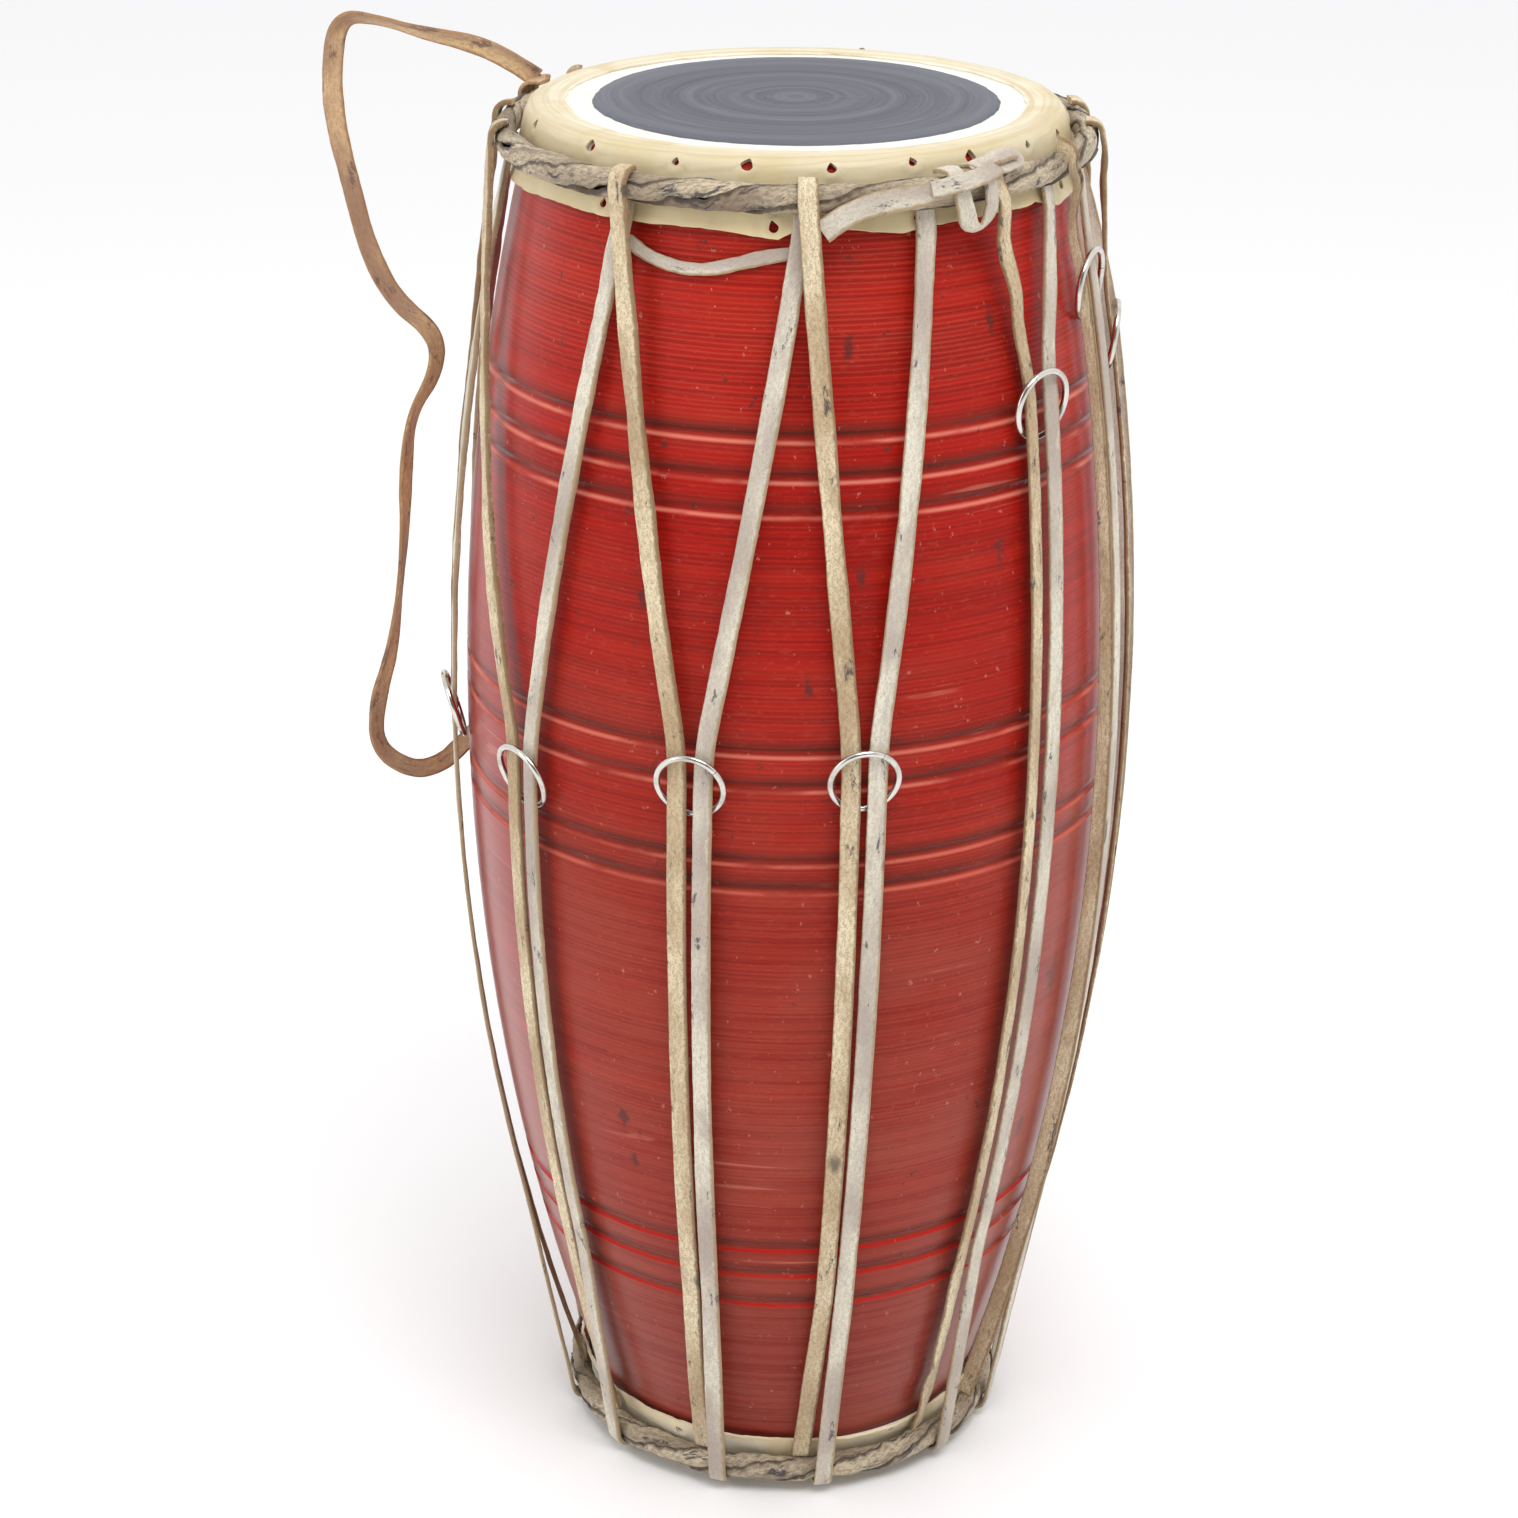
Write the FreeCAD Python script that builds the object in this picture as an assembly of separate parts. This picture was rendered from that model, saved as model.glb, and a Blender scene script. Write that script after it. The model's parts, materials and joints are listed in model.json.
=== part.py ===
import FreeCAD, Part
import math
import os

# A two-headed barrel hand drum, standing on its smaller head.
# Millimetres, +Z up. The origin is the middle of the flat face that it stands on.
# Angles go round the drum from its front (-Y) towards +X.

os.makedirs("parts", exist_ok=True)
Vector = FreeCAD.Vector
UP = Vector(0, 0, 1)
ORIGIN = Vector(0, 0, 0)

# Wooden barrel: its side is one long arc, widest at the belly.
overall_height = 480.0
belly_radius = 110.0
belly_share = 0.56667
top_rim_radius = 84.165
wall_thickness = 9.0
rim_rounding = 3.5
groove_heights = (397.4, 385.2, 374.4, 297.8, 286.3, 260.7, 251.0, 110.7, 99.4, 86.2)
groove_cutter_radius = 2.6
groove_depth = 1.0

# Heads: a main skin, a collar skin over it and a disc of tuning paste.
skin_thickness = 0.8
collar_thickness = 1.0
paste_thickness = 1.5
paste_bevel = 0.9
paste_bevel_run = 1.8
layer_gap = 0.1
top_paste_inset = 18.865
top_collar_hole_inset = 10.665
top_skirt_length = 22.6
bottom_paste_inset = 18.05
bottom_collar_hole_inset = 11.05
bottom_skirt_length = 20.0
skin_turn_down = 15.0

# Twisted hide hoop round each head.
braid_width = 7.5
braid_height = 9.2
braid_corner = 3.0
top_braid_drop = 8.6
bottom_braid_drop = 7.1
braid_gap = 0.1

# Lacing thong and the tuning rings that slide on each pair of its runs.
thong_width = 6.6
thong_thickness = 1.5
thong_gap = 0.2
spacing_at_ring = 8.6
spacing_low = 6.9
ring_outer_diameter = 24.0
ring_wire = 2.2
ring_clearance = 0.35
ring_sideways_play = 0.3
ring_low_height = 100.0
apex_above_ring = 3.0
apex_rounding = 16.0
station_spacing = 12.0
leave_above_ring = 4.0
hoop_approach = 1.5
wrap_steps = 4
strand_end_gap = 0.5

# Each pair: angle and height of its ring, angle where the ring stops, angle at the bottom hoop.
pairs = (
    (-82.0, 276.0, -80.5, -77.0),
    (-48.5, 275.0, -48.3, -51.0),
    (-15.5, 287.0, -16.9, -18.8),
    (12.0, 290.0, 10.8, 8.4),
    (47.5, 400.0, 42.4, 44.3),
    (69.5, 429.0, 66.0, 68.5),
    (89.0, 403.0, 88.0, 86.0),
    (121.0, 296.0, 119.5, 117.0),
    (151.0, 284.0, 152.5, 150.0),
    (184.0, 305.0, 182.0, 185.0),
    (214.0, 278.0, 216.0, 213.0),
    (248.0, 222.0, 247.0, 249.0),
)
# Each loop over the top hoop: angle of its front strand, angle of its back strand.
loops = (
    (-98.0, -98.5),
    (-79.0, -80.0),
    (-32.8, -33.5),
    (2.3, 1.5),
    (38.5, 25.0),
    (62.5, 57.0),
    (86.0, 75.0),
    (105.0, 104.0),
    (136.5, 135.5),
    (168.0, 166.5),
    (199.5, 198.5),
    (230.0, 229.0),
)

# Loose end of the lacing: a band along the top hoop, its knot, and a tail tucked under the loops.
band_angles = (5.8, 8.0, 10.8, 14.5, 19.5, 24.8, 30.0)
band_drops = (16.2, 13.6, 11.2, 9.4, 8.2, 7.4, 6.8)
knot_angles = (30.5, 36.0)
knot_depth = 5.5
knot_height = 16.0
knot_corner = 2.0
tail_angles = (-31.0, -26.0, -21.5, -16.5, -11.5, -7.0, -2.5, 0.5)
tail_heights = (450.2, 447.4, 446.2, 446.4, 448.2, 450.2, 451.6, 452.4)
tail_width = 4.5
tail_gap = 0.4

# Carrying strap: a strip of leather, here the round tube that the strip turns in.
strap_width = 7.0
strap_knot_angle = -116.0
strap_knot_span = 8.0
strap_knot_thickness = 3.0
strap_knot_corner = 1.0
strap_route = (
    (-86.0, 41.5, 476.5),
    (-94.0, 40.5, 482.0),
    (-106.0, 40.0, 486.5),
    (-124.0, 40.0, 487.0),
    (-137.0, 40.0, 494.0),
    (-152.5, 40.0, 495.5),
    (-155.5, 39.5, 478.0),
    (-155.0, 37.5, 461.0),
    (-150.0, 34.0, 441.0),
    (-143.0, 30.5, 421.0),
    (-133.5, 28.0, 404.0),
    (-117.5, 25.5, 393.0),
    (-119.5, 24.0, 380.0),
    (-129.5, 21.0, 366.0),
    (-131.5, 18.0, 346.0),
    (-132.0, 15.0, 327.0),
    (-134.0, 11.5, 307.0),
    (-137.0, 8.0, 285.0),
    (-142.5, 5.0, 268.0),
    (-143.5, 4.0, 250.5),
    (-131.0, 5.0, 241.5),
    (-121.5, 13.5, 241.0),
    (-116.0, 25.0, 243.0),
    (-111.0, 34.5, 245.5),
)
strap_arc_share = 0.45
strap_knot_gap = 0.3

# Worked out from the values above.
paste_base = layer_gap + skin_thickness
head_height = paste_base + paste_thickness
collar_inside = paste_base + layer_gap
collar_outside = collar_inside + collar_thickness
top_rim = overall_height - head_height
bottom_rim = head_height
belly_height = overall_height * belly_share
rim_inset = belly_radius - top_rim_radius
barrel_curve = ((top_rim - belly_height) ** 2 + rim_inset ** 2) / (2 * rim_inset)
arc_centre_radius = belly_radius - barrel_curve
ring_radius = (ring_outer_diameter - ring_wire) / 2
pair_half_width = (spacing_at_ring + thong_width) / 2 + ring_sideways_play
ring_reach = math.sqrt(ring_radius ** 2 - pair_half_width ** 2)
ring_lift = (thong_thickness + ring_wire) / 2 + ring_clearance
ring_tilt = math.asin(ring_lift / ring_reach)
ring_depth = ring_radius * math.sin(ring_tilt) + ring_wire / 2
strand_curve = barrel_curve + ring_depth + ring_clearance
strand_lift = thong_thickness / 2 + thong_gap


def polar(radius, degrees, height):
    """Point at a radius, an angle round the drum and a height."""
    angle = math.radians(degrees)
    return Vector(radius * math.sin(angle), -radius * math.cos(angle), height)


def outward(degrees):
    return polar(1.0, degrees, 0.0)


def sideways(degrees):
    angle = math.radians(degrees)
    return Vector(math.cos(angle), math.sin(angle), 0)


def arc_radius_at(height, curve):
    """Distance from the drum's axis of a profile arc with this curve radius."""
    return arc_centre_radius + math.sqrt(curve ** 2 - (height - belly_height) ** 2)


def arc_slope_at(height, curve):
    """Angle of the arc's normal above the horizontal."""
    return math.asin((height - belly_height) / curve)


def flat(radius, height):
    """A point of an outline that is turned about the drum's axis."""
    return Vector(radius, 0, height)


def line(start, end):
    return Part.LineSegment(start, end).toShape()


def arc(start, middle, end):
    return Part.Arc(start, middle, end).toShape()


def turned(edges, degrees=360.0, start_degrees=0.0):
    """Solid of revolution of a closed outline drawn in the XZ plane."""
    face = Part.Face(Part.Wire(edges))
    solid = face.revolve(ORIGIN, UP, degrees)
    if solid.Volume < 0:
        solid.reverse()
    solid.rotate(ORIGIN, UP, start_degrees)
    return solid


def on_arc(curve, slope):
    """Point of an outline on a profile arc, where its normal has this slope."""
    return flat(arc_centre_radius + curve * math.cos(slope), belly_height + curve * math.sin(slope))


def side_edge(curve, start_slope, end_slope):
    """Edge along a profile arc between two slopes."""
    slopes = (start_slope, (start_slope + end_slope) / 2, end_slope)
    return arc(*[on_arc(curve, slope) for slope in slopes])


def rim_round_centre(rim, side):
    """Centre of the rim's rounding. side is 1 at the top rim and -1 at the bottom rim."""
    height = rim - side * rim_rounding
    return flat(arc_radius_at(height, barrel_curve - rim_rounding), height)


def rim_edge(rim, side):
    """Rounded edge of the rim, its two ends and the slope where it meets the side."""
    centre = rim_round_centre(rim, side)
    slope = arc_slope_at(centre.z, barrel_curve - rim_rounding)
    halfway = (side * math.pi / 2 + slope) / 2
    crest = flat(centre.x, rim)
    middle = centre + flat(rim_rounding * math.cos(halfway), rim_rounding * math.sin(halfway))
    return arc(crest, middle, on_arc(barrel_curve, slope)), crest, slope


def make_shell():
    """Hollow turned barrel with rounded rims and turned grooves, from one closed outline."""
    low_round, low_crest, slope = rim_edge(bottom_rim, -1)
    high_round, high_crest, high_slope = rim_edge(top_rim, 1)
    cutter_reach = barrel_curve + groove_cutter_radius - groove_depth
    cosine = barrel_curve ** 2 + cutter_reach ** 2 - groove_cutter_radius ** 2
    half_groove = math.acos(cosine / (2 * barrel_curve * cutter_reach))
    outline = [low_round]
    for height in sorted(groove_heights):
        middle = arc_slope_at(height, barrel_curve)
        start = middle - half_groove
        end = middle + half_groove
        deepest = on_arc(barrel_curve - groove_depth, middle)
        outline.append(side_edge(barrel_curve, slope, start))
        outline.append(arc(on_arc(barrel_curve, start), deepest, on_arc(barrel_curve, end)))
        slope = end
    inner_curve = barrel_curve - wall_thickness
    inner_low = arc_slope_at(bottom_rim, inner_curve)
    inner_high = arc_slope_at(top_rim, inner_curve)
    outline.append(side_edge(barrel_curve, slope, high_slope))
    outline.append(high_round)
    outline.append(line(high_crest, on_arc(inner_curve, inner_high)))
    outline.append(side_edge(inner_curve, inner_high, inner_low))
    outline.append(line(on_arc(inner_curve, inner_low), low_crest))
    return turned(Part.__sortEdges__(outline))


def skin_outline(rim, side, inside, outside, hole_radius, length):
    """Outline of a skin that lies over a rim and down the barrel, between two offsets."""
    centre = rim_round_centre(rim, side)
    slope = arc_slope_at(centre.z, barrel_curve - rim_rounding)
    halfway = (side * math.pi / 2 + slope) / 2
    edge_slope = arc_slope_at(rim - side * length, barrel_curve)

    def at_rim(offset, angle):
        reach = rim_rounding + offset
        return centre + flat(reach * math.cos(angle), reach * math.sin(angle))

    edges = []
    corners = []
    for offset in (inside, outside):
        face_height = rim + side * offset
        start = flat(hole_radius, face_height)
        crest = flat(centre.x, face_height)
        turn = at_rim(offset, slope)
        end = on_arc(barrel_curve + offset, edge_slope)
        edges.append(line(start, crest))
        edges.append(arc(crest, at_rim(offset, halfway), turn))
        edges.append(side_edge(barrel_curve + offset, slope, edge_slope))
        corners.append((start, end))
    edges.append(line(corners[0][0], corners[1][0]))
    edges.append(line(corners[0][1], corners[1][1]))
    return Part.__sortEdges__(edges)


def make_paste(rim, side, radius):
    """Disc of tuning paste with a bevelled edge, on the main skin."""
    base = rim + side * paste_base
    face = rim + side * head_height
    step = face - side * paste_bevel
    corners = [
        flat(0, base),
        flat(radius, base),
        flat(radius, step),
        flat(radius - paste_bevel_run, face),
        flat(0, face),
    ]
    edges = [line(corners[i], corners[(i + 1) % len(corners)]) for i in range(len(corners))]
    return turned(edges)


def braid_place(rim, side, drop):
    """Inner radius and middle height of a hoop that sits against the collar."""
    height = rim - side * drop
    widest_level = height - side * braid_height / 2
    inner = arc_radius_at(widest_level, barrel_curve + collar_outside) + braid_gap
    return inner, height


def rounded_outline(inner, outer, low, high, corner):
    """Rounded rectangle in the XZ plane."""
    edges = []
    spots = (
        (outer - corner, high - corner, 90),
        (inner + corner, high - corner, 180),
        (inner + corner, low + corner, 270),
        (outer - corner, low + corner, 360),
    )
    ends = []
    for middle_radius, middle_height, last in spots:
        points = []
        for degrees in (last - 90, last - 45, last):
            angle = math.radians(degrees)
            reach = flat(corner * math.cos(angle), corner * math.sin(angle))
            points.append(flat(middle_radius, middle_height) + reach)
        edges.append(arc(*points))
        ends.append((points[0], points[2]))
    for i in range(4):
        edges.append(line(ends[i][1], ends[(i + 1) % 4][0]))
    return Part.__sortEdges__(edges)


def make_braid(rim, side, drop):
    inner, height = braid_place(rim, side, drop)
    low = height - braid_height / 2
    return turned(rounded_outline(inner, inner + braid_width, low, low + braid_height, braid_corner))


def strip_sections(stations, width, thickness):
    """Rectangles across a flat strip, one at each station: a point of its middle line and a normal."""
    sections = []
    last = len(stations) - 1
    for i, (point, normal) in enumerate(stations):
        tangent = stations[min(i + 1, last)][0] - stations[max(i - 1, 0)][0]
        across = normal.cross(tangent).normalize()
        facing = tangent.cross(across).normalize()
        corners = [
            point + across * (width / 2) + facing * (thickness / 2),
            point - across * (width / 2) + facing * (thickness / 2),
            point - across * (width / 2) - facing * (thickness / 2),
            point + across * (width / 2) - facing * (thickness / 2),
        ]
        sections.append(Part.makePolygon(corners + [corners[0]]))
    return sections


def strip(stations, width, thickness):
    """Flat strip along stations, with smooth sides."""
    return Part.makeLoft(strip_sections(stations, width, thickness), True, False)


def run_strip(body, wrap, wrap_first):
    """Run of the lacing: a smooth stretch, and a short wrap of straight-sided steps round a hoop."""
    stations = wrap + body if wrap_first else body + wrap
    sections = strip_sections(stations, thong_width, thong_thickness)
    count = len(wrap)
    if wrap_first:
        smooth, stepped = sections[count - 1:], sections[:count]
    else:
        smooth, stepped = sections[:-count + 1], sections[-count:]
    long_piece = Part.makeLoft(smooth, True, False)
    return long_piece.fuse(Part.makeLoft(stepped, True, True))


def pair_frame(pair):
    """Directions of the plane that one pair of runs, and its ring, lies in."""
    ring_angle, ring_height, low_angle, bottom_angle = pair
    share = (belly_height - ring_low_height) / (ring_height - ring_low_height)
    middle_angle = low_angle + (ring_angle - low_angle) * share
    ring_offset = math.radians(ring_angle - middle_angle) * arc_radius_at(ring_height, strand_curve)
    low_offset = math.radians(low_angle - middle_angle) * arc_radius_at(ring_low_height, strand_curve)
    lean = math.atan2(ring_offset - low_offset, ring_height - ring_low_height)
    out = outward(middle_angle)
    along = UP * math.cos(lean) + sideways(middle_angle) * math.sin(lean)
    across = sideways(middle_angle) * math.cos(lean) - UP * math.sin(lean)
    pivot = out * arc_centre_radius + UP * belly_height
    return pivot, out, along, across, lean


def swing_at(height, lean):
    """Angle about the pair's pivot that reaches this height."""
    return math.asin((height - belly_height) / (strand_curve * math.cos(lean)))


def pair_station(pair, swing, offset):
    """Point and normal on the pair's plane, this far to the side of its middle."""
    pivot, out, along, across, lean = pair_frame(pair)
    normal = out * math.cos(swing) + along * math.sin(swing)
    return pivot + normal * strand_curve + across * offset, normal


def spacing_at(pair, height):
    """Distance between the middle lines of the two runs below the ring."""
    share = (height - ring_low_height) / (pair[1] - ring_low_height)
    share = max(0.0, min(1.0, share))
    return spacing_low + (spacing_at_ring - spacing_low) * share


def degrees_of(point):
    return math.degrees(math.atan2(point.x, -point.y))


def near(degrees, reference):
    """The same direction, written within half a turn of the reference."""
    return reference + (degrees - reference + 180.0) % 360.0 - 180.0


def eased_angle(start, end, gone, total):
    """Angle after this much of the climb: the turn starts gently and then keeps its rate."""
    rate = (end - start) / (abs(total) - apex_rounding / 2)
    gone = abs(gone)
    if gone < apex_rounding:
        return start + rate * gone ** 2 / (2 * apex_rounding)
    return start + rate * (gone - apex_rounding / 2)


def parallel_stations(pair, hand):
    """The stretch that the ring slides along. hand is -1 for the left run and 1 for the right."""
    lean = pair_frame(pair)[4]
    top = pair[1] + apex_above_ring
    count = round((top - ring_low_height) / station_spacing)
    stations = []
    for i in range(count + 1):
        height = ring_low_height + (top - ring_low_height) * i / count
        offset = hand * spacing_at(pair, height) / 2
        stations.append(pair_station(pair, swing_at(height, lean), offset))
    return stations


def surface_station(degrees, height):
    """Point and normal on the arc that the strands follow."""
    slope = arc_slope_at(height, strand_curve)
    normal = outward(degrees) * math.cos(slope) + UP * math.sin(slope)
    return polar(arc_radius_at(height, strand_curve), degrees, height), normal


def surface_stations(start_angle, start_height, end_angle, end_height):
    """Stations along the arc from one angle and height to another, with a level end."""
    turn_height = end_height - math.copysign(thong_width / 2, end_height - start_height)
    total = turn_height - start_height
    steps = round(abs(total) / station_spacing)
    stations = []
    for i in range(1, steps + 1):
        degrees = eased_angle(start_angle, end_angle, total * i / steps, total)
        stations.append(surface_station(degrees, start_height + total * i / steps))
    stations.append(surface_station(end_angle, end_height))
    return stations


def corner_of(rim, side, drop):
    """Centre of the hoop's outer corner, on the side that the lacing wraps round."""
    inner, height = braid_place(rim, side, drop)
    radius = inner + braid_width - braid_corner
    return radius, height + side * (braid_height / 2 - braid_corner)


def leaving_slope(corner, side):
    """Slope where a tight strand leaves the arc to run straight to the hoop's corner."""
    from_centre = (corner[0] - arc_centre_radius, corner[1] - belly_height)
    distance = math.hypot(*from_centre)
    wrap_radius = braid_corner + strand_lift
    spread = math.acos((strand_curve - wrap_radius) / distance)
    return math.atan2(from_centre[1], from_centre[0]) - side * spread


def wrap_stations(corner, side, degrees, first_slope, inner_radius):
    """From the hoop's outside, round its corner and in across its end."""
    wrap_radius = braid_corner + strand_lift
    stations = []
    last_slope = side * math.pi / 2
    for step in range(wrap_steps + 1):
        slope = first_slope + (last_slope - first_slope) * step / wrap_steps
        normal = outward(degrees) * math.cos(slope) + UP * math.sin(slope)
        middle = polar(corner[0], degrees, corner[1])
        stations.append((middle + normal * wrap_radius, normal))
    end_height = corner[1] + side * wrap_radius
    stations.append((polar(inner_radius, degrees, end_height), UP * side))
    return stations


def to_hoop(start_angle, start_height, end_angle, corner, side, leave_height, inner_radius):
    """Stations from the arc to the hoop, turning evenly to the end angle, and round the hoop."""
    free_height = belly_height + strand_curve * math.sin(leaving_slope(corner, side))
    if side * (free_height - leave_height) > 0:
        leave_height = free_height
    leave_radius = arc_radius_at(leave_height, strand_curve)
    wrap_radius = braid_corner + strand_lift
    from_corner = (leave_radius - corner[0], leave_height - corner[1])
    spread = math.acos(wrap_radius / math.hypot(*from_corner))
    wrap_slope = math.atan2(from_corner[1], from_corner[0]) + side * spread
    reach_height = corner[1] + wrap_radius * math.sin(wrap_slope)
    reach_radius = corner[0] + wrap_radius * math.cos(wrap_slope)
    approach_share = 1 - hoop_approach / abs(reach_height - leave_height)
    total = leave_height + (reach_height - leave_height) * approach_share - start_height

    def straight_station(share):
        height = leave_height + (reach_height - leave_height) * share
        radius = leave_radius + (reach_radius - leave_radius) * share
        degrees = eased_angle(start_angle, end_angle, height - start_height, total)
        normal = outward(degrees) * math.cos(wrap_slope) + UP * math.sin(wrap_slope)
        return polar(radius, degrees, height), normal

    stations = []
    steps = round(abs(leave_height - start_height) / station_spacing)
    for i in range(1, steps + 1):
        gone = (leave_height - start_height) * i / steps
        degrees = eased_angle(start_angle, end_angle, gone, total)
        stations.append(surface_station(degrees, start_height + gone))
    steps = round(approach_share * abs(reach_height - leave_height) / station_spacing)
    for i in range(1, steps):
        stations.append(straight_station(approach_share * i / steps))
    wrap = wrap_stations(corner, side, end_angle, wrap_slope, inner_radius)
    return stations, [straight_station(approach_share)] + wrap


def make_left_run(index):
    """Run that comes over the top hoop in front, and ends above the bottom hoop."""
    pair = pairs[index]
    straight = parallel_stations(pair, -1)
    apex = straight[-1][0]
    apex_angle = degrees_of(apex)
    corner = corner_of(top_rim, 1, top_braid_drop)
    inner = braid_place(top_rim, 1, top_braid_drop)[0]
    leave = pair[1] + ring_outer_diameter / 2 + leave_above_ring
    end_angle = near(loops[index][0], apex_angle)
    upper, wrap = to_hoop(apex_angle, apex.z, end_angle, corner, 1, leave, inner + braid_corner)
    low = straight[0][0]
    low_angle = degrees_of(low)
    end_height = braid_place(bottom_rim, -1, bottom_braid_drop)[1] + braid_height / 2 + strand_end_gap
    spread = math.degrees(spacing_low / 2 / arc_radius_at(end_height, strand_curve))
    bottom_angle = near(pair[3], low_angle) - spread
    lower = surface_stations(low_angle, low.z, bottom_angle, end_height)
    lower.reverse()
    return run_strip(lower + straight + upper, wrap, False)


def make_right_run(index):
    """Run that comes out from under the top hoop, and wraps round the bottom hoop."""
    pair = pairs[index]
    straight = parallel_stations(pair, 1)
    apex = straight[-1][0]
    apex_angle = degrees_of(apex)
    end_height = braid_place(top_rim, 1, top_braid_drop)[1] - braid_height / 2 - strand_end_gap
    end_angle = near(loops[(index + 1) % len(loops)][1], apex_angle)
    upper = surface_stations(apex_angle, apex.z, end_angle, end_height)
    low = straight[0][0]
    low_angle = degrees_of(low)
    corner = corner_of(bottom_rim, -1, bottom_braid_drop)
    spread = math.degrees(spacing_low / 2 / corner[0])
    bottom_angle = near(pair[3], low_angle) + spread
    inner = braid_place(bottom_rim, -1, bottom_braid_drop)[0]
    lower, wrap = to_hoop(low_angle, low.z, bottom_angle, corner, -1, low.z, inner + braid_corner)
    lower.reverse()
    wrap.reverse()
    return run_strip(lower + straight + upper, wrap, True)


def make_ring(index):
    """Steel ring round both runs: its upper edge in front of them, its lower edge behind."""
    pair = pairs[index]
    pivot, out, along, across, lean = pair_frame(pair)
    swing = swing_at(pair[1], lean)
    centre, normal = pair_station(pair, swing, 0.0)
    downward = across.cross(normal)
    facing = normal * math.cos(ring_tilt) + downward * math.sin(ring_tilt)
    return Part.makeTorus(ring_radius, ring_wire / 2, centre, facing)


def make_end_band():
    """Wide end of the lacing, laid along the outside of the top hoop."""
    radius = braid_place(top_rim, 1, top_braid_drop)[0] + braid_width + strand_lift
    stations = []
    for degrees, drop in zip(band_angles, band_drops):
        stations.append((polar(radius, degrees, top_rim - drop), outward(degrees)))
    return strip(stations, thong_width, thong_thickness)


def make_end_knot():
    """Knot of the lacing's end, outside the top hoop."""
    inner, height = braid_place(top_rim, 1, top_braid_drop)
    near_side = inner + braid_width + thong_gap
    low = height - knot_height / 2
    outline = rounded_outline(near_side, near_side + knot_depth, low, low + knot_height, knot_corner)
    span = knot_angles[1] - knot_angles[0]
    return turned(outline, span, knot_angles[0] - 90.0)


def make_tail():
    """Loose tail of the lacing, lying on the barrel under two loops."""
    lift = tail_gap + thong_thickness / 2
    stations = []
    for degrees, height in zip(tail_angles, tail_heights):
        slope = arc_slope_at(height, barrel_curve)
        normal = outward(degrees) * math.cos(slope) + UP * math.sin(slope)
        radius = arc_radius_at(height, barrel_curve + lift)
        stations.append((polar(radius, degrees, height), normal))
    return strip(stations, tail_width, thong_thickness)


def make_strap():
    """Tube along the strap's route: straight runs joined by tangent arcs."""
    points = [Vector(*point) for point in strap_route]
    edges = []
    radii = []
    start = points[0]
    for i in range(1, len(points) - 1):
        before = points[i] - points[i - 1]
        after = points[i + 1] - points[i]
        turn = before.getAngle(after)
        shorter = min(before.Length, after.Length)
        trim = strap_arc_share * shorter
        radii.append(trim / math.tan(turn / 2))
        before.normalize()
        after.normalize()
        arc_start = points[i] - before * trim
        arc_end = points[i] + after * trim
        bisector = (after - before).normalize()
        sagitta = radii[-1] * (1 / math.cos(turn / 2) - 1)
        edges.append(line(start, arc_start))
        edges.append(arc(arc_start, points[i] + bisector * sagitta, arc_end))
        start = arc_end
    edges.append(line(start, points[-1]))
    path = Part.Wire(edges)
    direction = (points[1] - points[0]).normalize()
    circle = Part.Wire(Part.makeCircle(strap_width / 2, points[0], direction))
    tube = path.makePipeShell([circle], True, False)
    section = math.pi * strap_width ** 2 / 4
    print("strap radii, smallest", round(min(radii), 1), [round(r) for r in radii])
    print("strap length", round(path.Length, 1), "volume ratio", round(tube.Volume / section / path.Length, 4))
    return tube


def make_strap_top_knot():
    """Strap end wrapped over the top and outside of the top hoop."""
    inner, height = braid_place(top_rim, 1, top_braid_drop)
    middle = inner + braid_width / 2
    outer = inner + braid_width + thong_gap
    top = height + braid_height / 2 + thong_gap
    far = outer + strap_knot_thickness
    crest = top + strap_knot_thickness
    corners = [
        flat(middle, top),
        flat(outer, top),
        flat(outer, height),
        flat(far, height),
        flat(far, crest),
        flat(middle, crest),
    ]
    edges = [line(corners[i], corners[(i + 1) % len(corners)]) for i in range(len(corners))]
    return turned(edges, strap_knot_span, strap_knot_angle - strap_knot_span / 2 - 90.0)


def make_strap_side_knot():
    """Strap end tied on the outside of the last pair's right run, above its ring."""
    point, normal = right_run_at(len(pairs) - 1, strap_route[-1][2])
    side = sideways(degrees_of(point))
    size = strap_width + strap_knot_thickness
    centre = point + normal * (thong_thickness / 2 + strap_knot_gap + strap_knot_thickness / 2)
    start = Vector(-strap_knot_thickness / 2, -size / 2, -size / 2)
    box = Part.makeBox(strap_knot_thickness, size, size, start)
    box = box.makeFillet(strap_knot_corner, box.Edges)
    turn = FreeCAD.Rotation(normal, side, normal.cross(side), "XYZ")
    box.Placement = FreeCAD.Placement(centre, turn)
    return box


def right_run_at(index, height):
    """Point and normal on a right run, above its ring."""
    apex = parallel_stations(pairs[index], 1)[-1][0]
    apex_angle = degrees_of(apex)
    braid_low = braid_place(top_rim, 1, top_braid_drop)[1] - braid_height / 2
    total = braid_low - strand_end_gap - thong_width / 2 - apex.z
    end_angle = near(loops[(index + 1) % len(loops)][1], apex_angle)
    return surface_station(eased_angle(apex_angle, end_angle, height - apex.z, total), height)


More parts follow.
